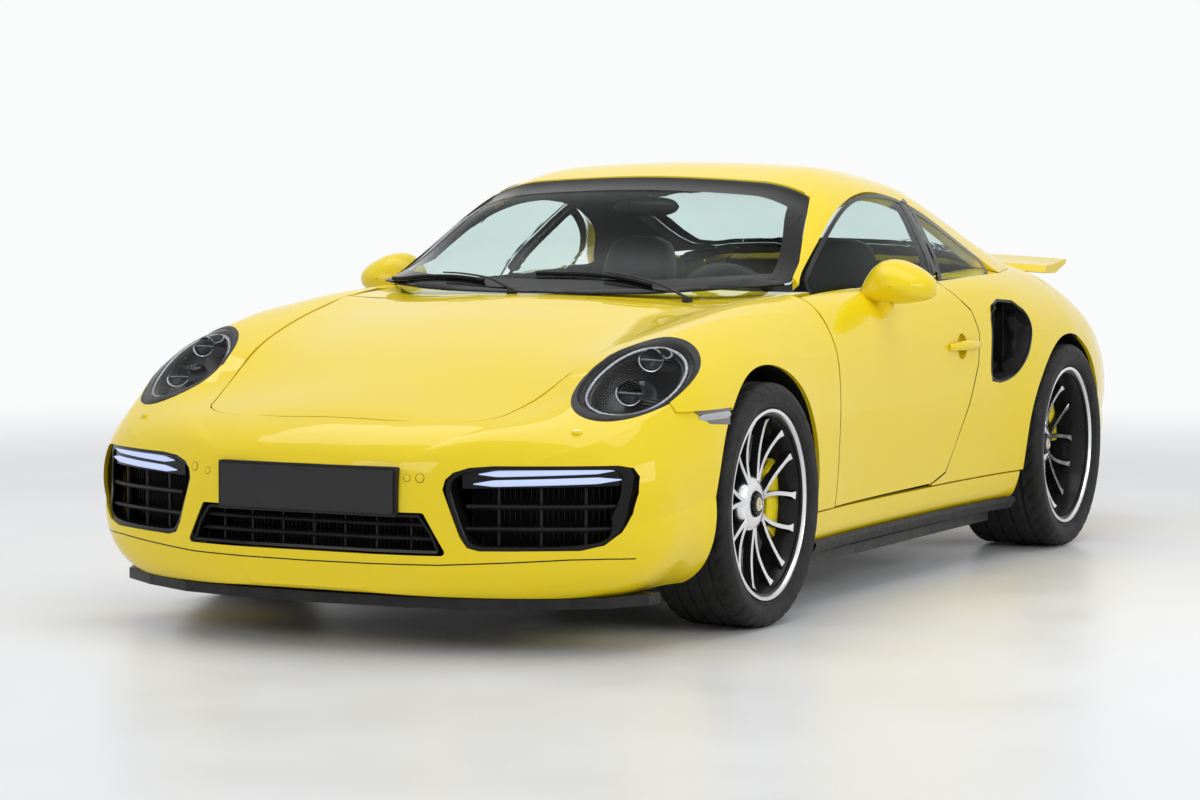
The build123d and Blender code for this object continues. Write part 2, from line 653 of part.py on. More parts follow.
sill_ys = even(front(395), rear(-395), 5)
sill_seat_x = 772.0  # outer face of the floor's side rails
sill = sheet(body, [(y, None, ("z", 281)) for y in sill_ys], 16, arcs=3) - box(0, sill_seat_x, -2000, 2000, 0, 400)
save("side_sills", *both(sill))

tail_ys = [tail_end + seat_gap] + [rear(d) for d in (340, 620, 820, 960, 1036, 1062)]
tail_shell = block(body, tail_ys, 0) - block(
    body, [tail_end - 20] + [y - 11 for y in tail_ys[1:-1]] + [tail_ys[-1] - skin], skin
)
tail_light_hole = front_prism(tail_light_outline, rear(700), tail_y + 20)
plate_recess = front_prism([(-270, 420), (270, 420), (270, 560), (-270, 560)], tail_y - 8, tail_y + 20)
exhaust_hole = front_prism([(330, 240), (560, 240), (560, 330), (330, 330)], rear(700), tail_y + 20, 12)
rear_bumper = tail_shell - lid_hole - tail_light_hole - plate_recess
for cut in both(rear_wheel_hole) + both(exhaust_hole):
    rear_bumper -= cut
save("rear_bumper", *[solid for solid in rear_bumper.solids() if solid.volume > 1e5])

lamp_band = block(body, [rear(700), rear(820), rear(960), rear(1036), rear(1056)], 4) - block(
    body, [rear(690), rear(810), rear(950), rear(1026), rear(1040)], 30
)
rear_lamps = lamp_band & front_prism(
    grown(tail_light_outline, -seat_gap), rear(700), tail_y + 20
)
save("rear_lamps", rear_lamps)

lid_pin_y, lid_pin_x = lid_front + 16, 120.0
lid_pin_z = body.z_at(lid_pin_y, lid_pin_x) - 12
engine_lid = middle_panel(body, LID_WIDTHS, rear, (640, 570), lid_thickness, count=7)
engine_lid = lid_hinge_cuts(engine_lid, lid_pin_x, lid_pin_y, lid_pin_z, -1)
deck = sheet(cabin, [(y, ("x", deck_half), None) for y in even(deck_front, deck_rear, 3)], 18, whole=True, arcs=3)
save("rear_deck", deck)

wing_span, wing_post_x = 650.0, 330.0
wing_post_radius = 12.0
wing_y = rear(700)
wing_z = 930.0


def wing_section(x):
    """Aerofoil section of the wing at a distance from the centre line, in its own vertical plane."""
    share = (x / wing_span) ** 2
    lead, trail = wing_y - 150 - 10 * share, wing_y + 150 - 70 * share
    low, high = wing_z - 20 * share, wing_z + 34 - 20 * share
    points = [(lead, low + 4), (lead + 20, high - 6), ((lead + trail) / 2, high), (trail - 12, high + 14), (trail, high + 12),
              (trail - 6, high - 2), ((lead + trail) / 2, low), (lead + 16, low)]  # fmt: skip
    return outline_face(points, side_plane.offset(x))


wing = Solid.make_loft([wing_section(x).faces()[0].outer_wire() for x in (-wing_span, -420, 0, 420, wing_span)])
wing_posts = both(z_cylinder(wing_post_radius, wing_post_x, wing_y, 745, wing_z + 6))
for post in wing_posts:
    wing += post
save("rear_wing", wing)
for post in both(z_cylinder(wing_post_radius + seat_gap, wing_post_x, wing_y, 700, 1000)):
    engine_lid -= post
save("engine_lid", engine_lid)
lid_bracket = lid_hinge(lid_pin_x, lid_pin_y, lid_pin_z, 880)
hood_bracket = lid_hinge(hood_pin_x, hood_pin_y, hood_pin_z, 800)
save("hinge_brackets", *door_ears, *both(hood_bracket), *both(lid_bracket))
engine_front, engine_back = rear(110), rear(600)
exhaust_tip = front_prism([(338, 248), (552, 248), (552, 322), (338, 322)], rear(790), rear(1040), 10) - front_prism(
    [(342, 252), (441, 252), (441, 318), (342, 318)], rear(860), rear(1100), 8
) - front_prism([(449, 252), (548, 252), (548, 318), (449, 318)], rear(860), rear(1100), 8)
silencer = side_prism(
    [(engine_back + seat_gap, 244), (rear(790), 244), (rear(790), 340), (engine_back + seat_gap, 340)], -560, 560, 20
)
for tip in both(exhaust_tip):
    silencer += tip
save("exhaust", silencer)

# ---------------------------------------------------------------- front trim
def intake_frame(outline, y0, y1, wall, rows, dividers, span, radius):
    """Frame of an air intake with level blades and upright dividers, before it is trimmed to the nose."""
    frame = front_prism(grown(outline, -seat_gap), y0, y1, radius) - front_prism(
        grown(outline, -wall), y0 - 10, y1 + 10, max(radius - wall, 0)
    )
    blades = [box(span[0], span[1], y0 + 14, y1, z - 4, z + 4) for z in rows]
    blades += [box(x - 4, x + 4, y0 + 22, y1, 240, 500) for x in dividers]
    inside = front_prism(grown(outline, -wall + 1), y0, y1, max(radius - wall, 0))
    for blade in blades:
        frame += blade & inside
    return frame


# Plan of the nose behind the front axle's line at the outer intakes: (x, distance).
NOSE_LINE = [(390, -956), (480, -926), (592, -878), (690, -826), (750, -786), (800, -740), (840, -686)]


def swept(shape, start, depth):
    """The part of a shape inside an upright slab that follows the nose, start behind its surface."""
    near = [(x, front(d) + start) for x, d in NOSE_LINE]
    return shape & top_prism(near + [(x, y + depth) for x, y in near[::-1]], 200, 560)


outer_frame = intake_frame(outer_intake, nose_y, front(-600), 16, (345, 395), (600,), (370, 850), 0)
outer_frame = swept(outer_frame, 6, 64)
middle_frame = intake_frame(middle_intake, nose_y + 14, nose_y + 84, 10, (318,), (-200, 0, 200), (-400, 400), 10)
light_height, light_depth = 13.0, 24.0
light_bars = []
for z in (436, 458):
    light_bars.append(swept(box(440, 770, nose_y, front(-600), z, z + light_height), 14, light_depth))
    outer_frame -= swept(
        box(440 - seat_gap, 770 + seat_gap, nose_y, front(-600), z - seat_gap, z + light_height + seat_gap),
        14 - seat_gap, light_depth + 2 * seat_gap,
    )  # fmt: skip
save("front_grilles", *both(max(outer_frame.solids(), key=lambda solid: solid.volume)), middle_frame)
save("daytime_lamps", *[piece for bar in light_bars for piece in both(bar)])
lip_half = [(0, nose_y + 42), (250, nose_y + 54), (430, front(-908)), (606, front(-818)), (738, front(-720)),
            (796, front(-600)), (800, front(-540)), (730, front(-540)), (640, front(-660)), (0, front(-860))]  # fmt: skip
front_lip = top_prism(lip_half + [(-x, y) for x, y in lip_half[-2:0:-1]], 122, 150 - seat_gap)
save("front_lip", front_lip)
plate_y = nose_y - 2
plate = front_prism([(-260, 368), (260, 368), (260, 480), (-260, 480)], plate_y - 6, plate_y, 5)
plate_holder = front_prism([(-268, 360), (268, 360), (268, 488), (-268, 488)], plate_y, nose_y + 60, 6)
plate_holder -= block(body, bumper_ys, -0.4)
save("number_plate", plate)
holder_solids = sorted(plate_holder.solids(), key=lambda solid: -solid.volume)[:1]
save("plate_holder", *holder_solids)

lamp_ends = side_ends([front(d) for d in even(-730, -210, 6)], lambda y: 520, lambda y: 440)
lamp_lens = sheet(body, lamp_ends, 4, arcs=5) & lamp_prism()
save("headlamp_lenses", *both(max(lamp_lens.solids(), key=lambda solid: solid.volume)))
lamp_bowl = (lamp_prism(0, -90, 60) - lamp_prism(-8, -80, 200)) & sheet(body, lamp_ends, 150, depth=4.6, arcs=5)
save("headlamp_units", *both(max(lamp_bowl.solids(), key=lambda solid: solid.volume)))
marker = side_prism(grown(marker_outline, -seat_gap), 700, 1000) & sheet(
    body, side_ends([front(-470), front(-360), front(-250)], lambda y: 540, lambda y: 700), 14, depth=1, arcs=3
)
save("marker_lamps", *both(marker))


# ---------------------------------------------------------------- structure
floor_top = ride_height + 31.7
rear_floor_top = 210.0
wall = 8.0
tub_half = 440.0  # half width between the front wheelhouses
rear_tub_half = 560.0
liner_wall = 4.0
bulkhead_y = front(430)
rear_bulkhead_y = rear(-446)
cabin_floor_top = floor_top
rail_inner_x = 700.0
shelf_top, lid_shelf_top = 800.0, 880.0
beam_half = 30.0  # cross beams that carry the wheels


def across(x, y0, y1, z0, z1):
    """Box from one side to the other."""
    return box(-x, x, y0, y1, z0, z1)


bulkhead_top = min(body.z_at(y, x) for y in (bulkhead_y, bulkhead_y + 16) for x in (0, 300, 480, 560, 620)) - skin - 4
underbody = across(790, front(430), rear(-430), ride_height, floor_top)
underbody += across(tub_half, front(-700), front(430), ride_height, floor_top)
underbody += across(rear_tub_half, rear(-446), rear(298), rear_floor_top - 32, rear_floor_top)
underbody += across(rear_tub_half, rear(-446), rear(-414), ride_height, rear_floor_top)
underbody += across(hinge_post_x - 60, bulkhead_y, bulkhead_y + 16, floor_top - 1, bulkhead_top)
underbody += across(640, front(240), bulkhead_y + 1, shelf_top - 16, shelf_top)
underbody += across(640, rear_bulkhead_y, rear_bulkhead_y + 16, floor_top - 1, 700)
underbody += side_prism(
    [(rear_bulkhead_y, 690), (rear_bulkhead_y, 706), (engine_front - 20, 868), (engine_front - 20, 852)], -640, 640
)
underbody += across(rear_tub_half, engine_front - 20, engine_front, rear_floor_top - 1, lid_shelf_top)
underbody += across(rear_tub_half, engine_front - 1, rear(216), lid_shelf_top - 24, lid_shelf_top)
for side in (
    box(rail_inner_x, sill_seat_x - seat_gap, front(440), rear(-440), floor_top - 1, 262),
    box(hinge_post_x - 60, hinge_post_x, front(430), front(654), floor_top - 1, 780),
    box(640, 752, rear(-725), rear(-660), floor_top - 1, 800),
    box(tub_half - wall, tub_half, front(-262), front(431), floor_top - 1, 600),
    box(tub_half - wall, tub_half, front(-400), front(-261), 190, 600),
    box(rear_tub_half - wall, rear_tub_half, rear(-431), engine_front, rear_floor_top - 1, 700),
    box(rear_tub_half - wall, rear_tub_half, engine_front - 1, rear(298), rear_floor_top - 1, 620),
    box(rear_tub_half - wall, rear_tub_half, rear(297), rear(400), 222, 620),
    box(670, 730, front(540), front(640), ride_height - 8, ride_height + 1),
    box(670, 730, rear(-640), rear(-540), ride_height - 8, ride_height + 1),
):
    for piece in both(side):
        underbody += piece
front_beam_hole = across(700, front(-beam_half) - seat_gap, front(beam_half) + seat_gap, front_tyre_radius - beam_half - seat_gap,
                         front_tyre_radius + beam_half + seat_gap)  # fmt: skip
rear_beam_hole = across(700, rear(-beam_half) - seat_gap, rear(beam_half) + seat_gap, rear_tyre_radius - beam_half - seat_gap,
                        rear_tyre_radius + beam_half + seat_gap)  # fmt: skip
underbody = underbody - front_beam_hole - rear_beam_hole
save("underbody", underbody)

tub_bottom, tub_top = 380.0, 590.0
tub_length = (front(-540), front(380))
luggage_tub = across(tub_half - wall - seat_gap, *tub_length, tub_bottom, tub_top) - across(
    tub_half - wall - 10, tub_length[0] + 10, tub_length[1] - 10, tub_bottom + 10, tub_top + 10
)
save("luggage_tub", luggage_tub)


def wheelhouse(radius, y, z, x_in, ys, low, lip_x):
    """Half tube over a wheel, trimmed to lie behind the panels, with a wall on its inner side."""
    tube = x_cylinder(radius + liner_wall, y, z, x_in, 1000) - x_cylinder(radius, y, z, x_in + liner_wall, 1010)
    tube -= box(x_in - 10, 1010, y - 600, y + 600, -300, low)
    tube -= box(lip_x, 1010, y - radius - 20, y + radius + 20, 0, 430)
    return tube & block(body, ys, skin + 6)


liner_offsets = even(-440, 440, 7)
front_liner = wheelhouse(
    front_arch_radius, front_axle_y, front_tyre_radius, tub_half + seat_gap, [front(d) for d in liner_offsets], 285, 842
)
rear_liner = wheelhouse(
    rear_arch_radius, rear_axle_y, rear_tyre_radius, rear_tub_half + seat_gap, [rear(d) for d in liner_offsets], 285, 878
)
liners = [front_liner - front_beam_hole, rear_liner - rear_beam_hole]
save("wheel_liners", *[piece for l in liners for piece in both(max(l.solids(), key=lambda solid: solid.volume))])


# ---------------------------------------------------------------- running gear
def turned(points):
    """Half section, (distance from the axle, distance outboard), turned about the X axis."""
    with BuildSketch(Plane.XY) as sketch:
        with BuildLine():
            Polyline([(x, radius) for radius, x in points], close=True)
        make_face()
    return revolve(sketch.sketch.faces()[0], Axis.X, 360)


bead_radius = rim_flange_radius - 19


def make_tyre(radius, width):
    half = width / 2
    seat = bead_radius + seat_gap
    left = [(seat, half - 50), (seat, half - 28), (rim_flange_radius + seat_gap, half - 26),
            (rim_flange_radius + 12, half - 4), (radius - 34, half), (radius - 8, half - 10), (radius, half - 30)]  # fmt: skip
    return turned(left + [(r, -x) for r, x in reversed(left)] + [(seat + 8, 0)])


def spoke_outline(middle, root, tip, reach):
    """Side view of one spoke: root and tip are its angles from the middle of its pair."""
    start = (68 * cos(radians(middle + root)), 68 * sin(radians(middle + root)))
    end = (reach * cos(radians(middle + tip)), reach * sin(radians(middle + tip)))
    way = unit((end[0] - start[0], end[1] - start[1]))
    half_width = 6.5
    across_way = (-way[1] * half_width, way[0] * half_width)
    return [(start[0] + across_way[0], start[1] + across_way[1]), (end[0] + across_way[0], end[1] + across_way[1]),
            (end[0] - across_way[0], end[1] - across_way[1]), (start[0] - across_way[0], start[1] - across_way[1])]  # fmt: skip


def make_rim(width, face_x):
    """Light-alloy wheel: barrel with two flanges, capped hub and pairs of slender spokes."""
    half = width / 2 - 3
    middle_radius = bead_radius - 6
    inner_radius = middle_radius - rim_barrel_wall
    barrel = turned([
        (rim_flange_radius, half - 12), (rim_flange_radius, half - 22), (bead_radius, half - 24),
        (bead_radius, half - 46), (middle_radius, half - 60), (middle_radius, 60 - half), (bead_radius, 46 - half),
        (bead_radius, 24 - half), (rim_flange_radius, 22 - half), (rim_flange_radius, 16 - half),
        (bead_radius - rim_barrel_wall, 16 - half), (inner_radius, 60 - half), (inner_radius, half - 60),
        (bead_radius - rim_barrel_wall, half - 30), (rim_flange_radius - 8, half - 12),
    ])  # fmt: skip
    back = face_x - 52
    rim = barrel + turned([
        (hub_bore_radius, back), (hub_bore_radius, face_x - 16), (0, face_x - 16), (0, face_x - 4), (34, face_x - 5),
        (38, face_x - 11), (60, face_x - 12), (80, face_x - 26), (84, back),
    ])  # fmt: skip
    reach = inner_radius + 4
    front_of, back_of = (face_x - 19, face_x + 2), (face_x - 46, face_x - 20)
    cone = turned([(40, front_of[0]), (reach + 6, front_of[1]), (reach + 6, back_of[1]), (40, back_of[0])])
    for pair in range(spoke_pairs):
        middle = 16 + 360 / spoke_pairs * pair
        for side in (-1, 1):
            spoke = side_prism(spoke_outline(middle, side * 7.0, side * 13.5, reach), back_of[0] - 10, front_of[1] + 10)
            rim += spoke & cone
    return rim


def make_disc(radius, face_x):
    """Brake disc and its bell, from the back of the wheel's hub inwards."""
    return turned([
        (hub_bore_radius, face_x), (84, face_x), (110, face_x - 8), (110, face_x - 10), (radius, face_x - 10),
        (radius, face_x - 44), (100, face_x - 44), (100, face_x - 24), (hub_bore_radius, face_x - 24),
    ])  # fmt: skip


def make_caliper(radius, face_x, angle, span=62.0):
    """Brake caliper over the edge of a disc, at an angle up from the rear, with the lug that carries it."""
    clear, outboard, inboard = 6.0, 14.0, 74.0
    whole = turned([(radius - 70, face_x + outboard), (radius + 20, face_x + outboard - 4), (radius + 20, face_x - inboard),
                    (radius - 70, face_x - inboard)])  # fmt: skip
    slot = turned([(40, face_x - 10 + clear), (radius + clear, face_x - 10 + clear), (radius + clear, face_x - 44 - clear),
                   (40, face_x - 44 - clear)])  # fmt: skip
    turns = [radians(angle + span * share) for share in (-0.5, 0, 0.5)]
    wedge = [(60 * cos(radians(angle)), 60 * sin(radians(angle)))] + [(320 * cos(t), 320 * sin(t)) for t in turns]
    return (whole & side_prism(wedge, -200, 300)) - slot


spindle_radius = hub_bore_radius - running_gap
spoke_face = {"front": 78.0, "rear": 70.0}  # outboard of the wheel's middle
hub_depth = 52.0
disc_radius = {"front": 205.0, "rear": 195.0}
wheel_x = {"front": front_track / 2, "rear": rear_track / 2}
disc_face = {end: spoke_face[end] - hub_depth - seat_gap for end in wheel_x}
kingpin_radius = 10.0

for end, y, radius, width in (
    ("front", front_axle_y, front_tyre_radius, front_tyre_width),
    ("rear", rear_axle_y, rear_tyre_radius, rear_tyre_width),
):
    place = Pos(wheel_x[end], y, radius)
    save_pair(f"tyre_{end}", place * make_tyre(radius, width))
    save_pair(f"rim_{end}", place * make_rim(width, spoke_face[end]))
    save_pair(f"brake_disc_{end}", place * make_disc(disc_radius[end], disc_face[end]))

# Upright that turns about the kingpins, with the wheel's spindle and the brake caliper.
upright_half, arm_clear, arm_height = 140.0, 6.0, 20.0
knuckle = box(kingpin_x - 18, kingpin_x + 18, front(-26), front(26), front_tyre_radius - upright_half, front_tyre_radius + upright_half)
knuckle += x_cylinder(spindle_radius, front_axle_y, front_tyre_radius, kingpin_x, wheel_x["front"] + spoke_face["front"] - 18)
knuckle += box(kingpin_x, kingpin_x + 18, front(20), front(150), front_tyre_radius - 40, front_tyre_radius + 40)
knuckle += Pos(wheel_x["front"], front_axle_y, front_tyre_radius) * make_caliper(disc_radius["front"], disc_face["front"], 0)
pin_depth = 32.0
for z in (front_tyre_radius - upright_half, front_tyre_radius + upright_half - pin_depth):
    knuckle -= z_cylinder(kingpin_radius + running_gap, kingpin_x, front_axle_y, z - 2, z + pin_depth + 2)
save_pair("front_knuckle", knuckle)

front_axle = across(660, front(-beam_half), front(beam_half), front_tyre_radius - beam_half, front_tyre_radius + beam_half)
for side in both(box(640, 664, front(-24), front(24), front_tyre_radius - upright_half - arm_clear - arm_height,
                     front_tyre_radius + upright_half + arm_clear + arm_height)):  # fmt: skip
    front_axle += side
for up in (-1, 1):
    edge = front_tyre_radius + up * (upright_half + arm_clear)
    low, high = sorted((edge, edge + up * arm_height))
    pin_low, pin_high = sorted((edge + up, edge - up * (arm_clear + pin_depth - 2)))
    arm = box(663, kingpin_x + 16, front(-20), front(20), low, high) + z_cylinder(kingpin_radius, kingpin_x, front_axle_y, pin_low, pin_high)
    for piece in both(arm):
        front_axle += piece
save("front_axle", front_axle)

rear_axle = across(700, rear(-beam_half), rear(beam_half), rear_tyre_radius - beam_half, rear_tyre_radius + beam_half)
carrier = box(690, 735, rear(-60), rear(60), rear_tyre_radius - 80, rear_tyre_radius + 80)
carrier += x_cylinder(spindle_radius, rear_axle_y, rear_tyre_radius, 720, wheel_x["rear"] + spoke_face["rear"] - 18)
caliper_angle = 30.0
carrier += Pos(0, rear_axle_y, rear_tyre_radius) * Rot(caliper_angle, 0, 0) * box(712, 735, 40, 150, -40, 40)
carrier += Pos(wheel_x["rear"], rear_axle_y, rear_tyre_radius) * make_caliper(disc_radius["rear"], disc_face["rear"], caliper_angle)
for piece in both(carrier):
    rear_axle += piece
save("rear_axle", rear_axle)

engine_block = box(-300, 300, engine_front + seat_gap, engine_back, 250, 640)
engine_block = chamfer(engine_block.edges().filter_by(Axis.Y), 60)
save("engine_block", engine_block)


# ---------------------------------------------------------------- cabin
dash_half = hinge_post_x - 60 - seat_gap
dash = side_prism(
    [(bulkhead_y + 16 + seat_gap, 660), (bulkhead_y + 16 + seat_gap, 846), (front(560), 862), (front(720), 858),
     (front(800), 820), (front(812), 760), (front(790), 700), (front(700), 640)],
    -dash_half, dash_half, 12,
)  # fmt: skip
console = side_prism(
    [(front(690), cabin_floor_top + seat_gap), (front(690), 660), (front(790), 560), (front(900), 470),
     (front(1500), 440), (front(1500), cabin_floor_top + seat_gap)],
    -92, 92, 18,
)  # fmt: skip
driver_x = 360.0
wheel_centre = (driver_x, front(905), 800.0)
wheel_tilt = 24.0  # steering column above the level
column_radius = 22.0
steering_rim_radius, steering_grip = 178.0, 15.0


def along_column(radius, y0, y1):
    return Pos(0, (y0 + y1) / 2, 0) * Rot(90, 0, 0) * Cylinder(radius, y1 - y0)


column_way = Pos(*wheel_centre) * Rot(wheel_tilt, 0, 0)  # local +Y runs back along the column
dashboard = dash + console - column_way * along_column(column_radius + running_gap, -230, 60)
save("dashboard", max(dashboard.solids(), key=lambda solid: solid.volume))
steering_wheel = Rot(90, 0, 0) * Torus(steering_rim_radius, steering_grip)
steering_wheel += along_column(42, -34, 6) + along_column(column_radius, -200, -30)
for angle in (0, 180, 270):
    spoke = Rot(0, angle, 0) * box(30, steering_rim_radius - 4, -12, -4, -16, 16)
    steering_wheel += spoke
save("steering_wheel", column_way * steering_wheel)


def make_seat(x):
    """Bucket seat with side bolsters and a headrest in one with the back."""
    base = side_prism([(-210, 210), (-220, 300), (-200, 335), (250, 290), (270, 210)], x - 240, x + 240, 20)
    back = front_prism(
        [(x - 235, 250), (x - 270, 560), (x - 200, 800), (x - 120, 860), (x - 105, 1000), (x - 60, 1030),
         (x + 60, 1030), (x + 105, 1000), (x + 120, 860), (x + 200, 800), (x + 270, 560), (x + 235, 250)],
        -100, 900, 20,
    )  # fmt: skip
    back &= side_prism(
        [(200, 250), (310, 210), (420, 210), (530, 700), (560, 1035), (470, 1035), (415, 800), (310, 420)], x - 300, x + 300, 20
    )
    seat = base + back
    for side in (-1, 1):
        rail_x = x + side * 200
        seat += box(rail_x - 15, rail_x + 15, -170, 310, cabin_floor_top + seat_gap, 215)
    return seat


save("front_seats", *both(make_seat(driver_x)))

rear_seat_front = rear_bulkhead_y - 280
rear_back = rear_bulkhead_y - seat_gap
rear_seat = side_prism(
    [(rear_seat_front, cabin_floor_top + seat_gap), (rear_seat_front, 330), (rear_back - 120, 300), (rear_back - 60, 690),
     (rear_back, 690), (rear_back, cabin_floor_top + seat_gap)],
    40, 520, 16,
)  # fmt: skip
save("rear_seats", *both(rear_seat))

stem_y = front(1096)
stem_top = cabin.z_at(stem_y - 10, 0) - roof_thickness * 1.03 - 2 * seat_gap
inner_mirror = box(-115, 115, stem_y - 60, stem_y - 40, stem_top - 95, stem_top - 35)
inner_mirror = fillet(inner_mirror.edges(), 8) + side_prism(
    [(stem_y - 45, stem_top - 85), (stem_y - 10, stem_top), (stem_y + 10, stem_top), (stem_y - 41, stem_top - 85)], -12, 12
)
save("interior_mirror", inner_mirror)

# ---------------------------------------------------------------- door mirrors
mirror_y = front(940)
housing = front_prism([(846, 990), (940, 984), (984, 950), (980, 908), (900, 900), (850, 915), (836, 960)], mirror_y - 60, mirror_y + 50, 16)
housing = chamfer(housing.faces().sort_by(Axis.Y)[0].edges(), 14)
arm = front_prism([(800, 800), (838, 800), (880, 905), (925, 918), (860, 918), (800, 860)], mirror_y - 20, mirror_y + 26, 5)
arm -= block(body, [mirror_y - 120, mirror_y, mirror_y + 120], 0.5)
door_mirror = housing + max(arm.solids(), key=lambda solid: solid.bounding_box().max.Z)
save_pair("door_mirror", door_mirror)
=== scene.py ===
# Two-door rear-engined coupe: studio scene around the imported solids.
import json
import math

import bmesh
import bpy
from mathutils import Matrix, Vector
from mathutils.bvhtree import BVHTree


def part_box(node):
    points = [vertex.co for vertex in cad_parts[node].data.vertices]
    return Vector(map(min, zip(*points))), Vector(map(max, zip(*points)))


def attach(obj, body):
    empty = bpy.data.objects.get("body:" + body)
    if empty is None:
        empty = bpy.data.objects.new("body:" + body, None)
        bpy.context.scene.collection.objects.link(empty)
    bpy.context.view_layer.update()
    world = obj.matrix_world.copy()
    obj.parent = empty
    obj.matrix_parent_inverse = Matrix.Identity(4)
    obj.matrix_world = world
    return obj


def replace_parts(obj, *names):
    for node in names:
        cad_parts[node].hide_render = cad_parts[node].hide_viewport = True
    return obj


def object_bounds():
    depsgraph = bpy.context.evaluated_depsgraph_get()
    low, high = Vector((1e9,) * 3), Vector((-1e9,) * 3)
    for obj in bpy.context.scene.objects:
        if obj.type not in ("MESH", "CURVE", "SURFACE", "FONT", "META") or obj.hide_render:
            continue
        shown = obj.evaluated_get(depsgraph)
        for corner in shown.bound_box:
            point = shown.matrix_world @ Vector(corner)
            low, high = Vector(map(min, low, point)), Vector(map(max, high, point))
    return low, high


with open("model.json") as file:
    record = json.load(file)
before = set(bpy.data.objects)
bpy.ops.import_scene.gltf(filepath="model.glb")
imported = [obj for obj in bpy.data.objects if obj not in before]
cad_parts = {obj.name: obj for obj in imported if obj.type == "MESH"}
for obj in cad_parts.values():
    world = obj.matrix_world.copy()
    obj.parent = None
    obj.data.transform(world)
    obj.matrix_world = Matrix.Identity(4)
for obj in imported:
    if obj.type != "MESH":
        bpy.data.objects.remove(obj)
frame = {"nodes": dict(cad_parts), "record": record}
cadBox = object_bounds()
nodes = frame["nodes"]
print("frame loaded:", len(nodes), "solids' nodes")

frontAxleY, rearAxleY = -1.2585, 1.1915  # metres, nose towards -Y


def newMaterial(name):
    material = bpy.data.materials.new(name)
    material.use_nodes = True
    tree = material.node_tree
    return material, tree, tree.nodes["Principled BSDF"]


def setSockets(shader, values):
    for key, value in values.items():
        shader.inputs[key].default_value = value


def link(tree, source, target):
    tree.links.new(source, target)


def mathNode(tree, operation, a, b):
    node = tree.nodes.new("ShaderNodeMath")
    node.operation = operation
    link(tree, a, node.inputs[0])
    link(tree, b, node.inputs[1])
    return node.outputs[0]


def noiseNode(tree, scale, detail=3.0):
    noise = tree.nodes.new("ShaderNodeTexNoise")
    setSockets(noise, {"Scale": scale, "Detail": detail})
    coordinates = tree.nodes.new("ShaderNodeTexCoord")
    link(tree, coordinates.outputs["Object"], noise.inputs["Vector"])
    return noise.outputs["Fac"]


def rampNode(tree, source, stops):
    ramp = tree.nodes.new("ShaderNodeValToRGB")
    elements = ramp.color_ramp.elements
    while len(elements) < len(stops):
        elements.new(0.5)
    for element, (place, colour) in zip(elements, stops):
        element.position = place
        element.color = (*colour, 1.0)
    link(tree, source, ramp.inputs[0])
    return ramp.outputs[0]


def bumpNode(tree, height, strength, distance):
    bump = tree.nodes.new("ShaderNodeBump")
    setSockets(bump, {"Strength": strength, "Distance": distance})
    link(tree, height, bump.inputs["Height"])
    return bump.outputs[0]


def greyRamp(tree, source, low, high):
    # Grey from low to high over the middle of a noise.
    return rampNode(tree, source, [(0.3, (low,) * 3), (0.7, (high,) * 3)])


def makeGroup(name, inputs, outputs):
    # Empty shader node group with float inputs and named outputs.
    group = bpy.data.node_groups.new(name, "ShaderNodeTree")
    for label, default in inputs:
        socket = group.interface.new_socket(name=label, in_out="INPUT", socket_type="NodeSocketFloat")
        socket.default_value = default
    for label, kind in outputs:
        group.interface.new_socket(name=label, in_out="OUTPUT", socket_type=kind)
    return group, group.nodes.new("NodeGroupInput"), group.nodes.new("NodeGroupOutput")


def makeDustGroup():
    # Patches of fine dust, as a mask.
    group, source, result = makeGroup("roadDust", [("Amount", 0.2), ("Scale", 9.0)],
                                      [("Mask", "NodeSocketFloat")])
    noise = group.nodes.new("ShaderNodeTexNoise")
    coordinates = group.nodes.new("ShaderNodeTexCoord")
    link(group, coordinates.outputs["Object"], noise.inputs["Vector"])
    link(group, source.outputs["Scale"], noise.inputs["Scale"])
    noise.inputs["Detail"].default_value = 6.0
    spread = rampNode(group, noise.outputs["Fac"], [(0.42, (0, 0, 0)), (0.75, (1, 1, 1))])
    link(group, mathNode(group, "MULTIPLY", spread, source.outputs["Amount"]), result.inputs["Mask"])
    return group


def makeGrainGroup():
    # Small pebbled grain for moulded plastic and leather.
    group, source, result = makeGroup("mouldedGrain", [("Scale", 900.0), ("Depth", 1.0)],
                                      [("Height", "NodeSocketFloat")])
    cells = group.nodes.new("ShaderNodeTexVoronoi")
    coordinates = group.nodes.new("ShaderNodeTexCoord")
    link(group, coordinates.outputs["Object"], cells.inputs["Vector"])
    link(group, source.outputs["Scale"], cells.inputs["Scale"])
    link(group, mathNode(group, "MULTIPLY", cells.outputs["Distance"], source.outputs["Depth"]),
         result.inputs["Height"])
    return group


dustGroup, grainGroup = makeDustGroup(), makeGrainGroup()


def useGroup(tree, group, values):
    node = tree.nodes.new("ShaderNodeGroup")
    node.node_tree = group
    setSockets(node, values)
    return node.outputs[0]


def mixColour(tree, factor, a, b):
    mix = tree.nodes.new("ShaderNodeMix")
    mix.data_type = "RGBA"
    link(tree, factor, mix.inputs[0])
    for socket, value in ((mix.inputs[6], a), (mix.inputs[7], b)):
        if isinstance(value, tuple):
            socket.default_value = (*value, 1.0)
        else:
            link(tree, value, socket)
    return mix.outputs[2]


paintLook = {"colour": (0.86, 0.655, 0.006), "deep": (0.83, 0.62, 0.004), "dusty": (0.75, 0.68, 0.45),
             "roughness": 0.55, "cloudScale": 3.0, "peelScale": 260.0, "peelDepth": 0.0004}


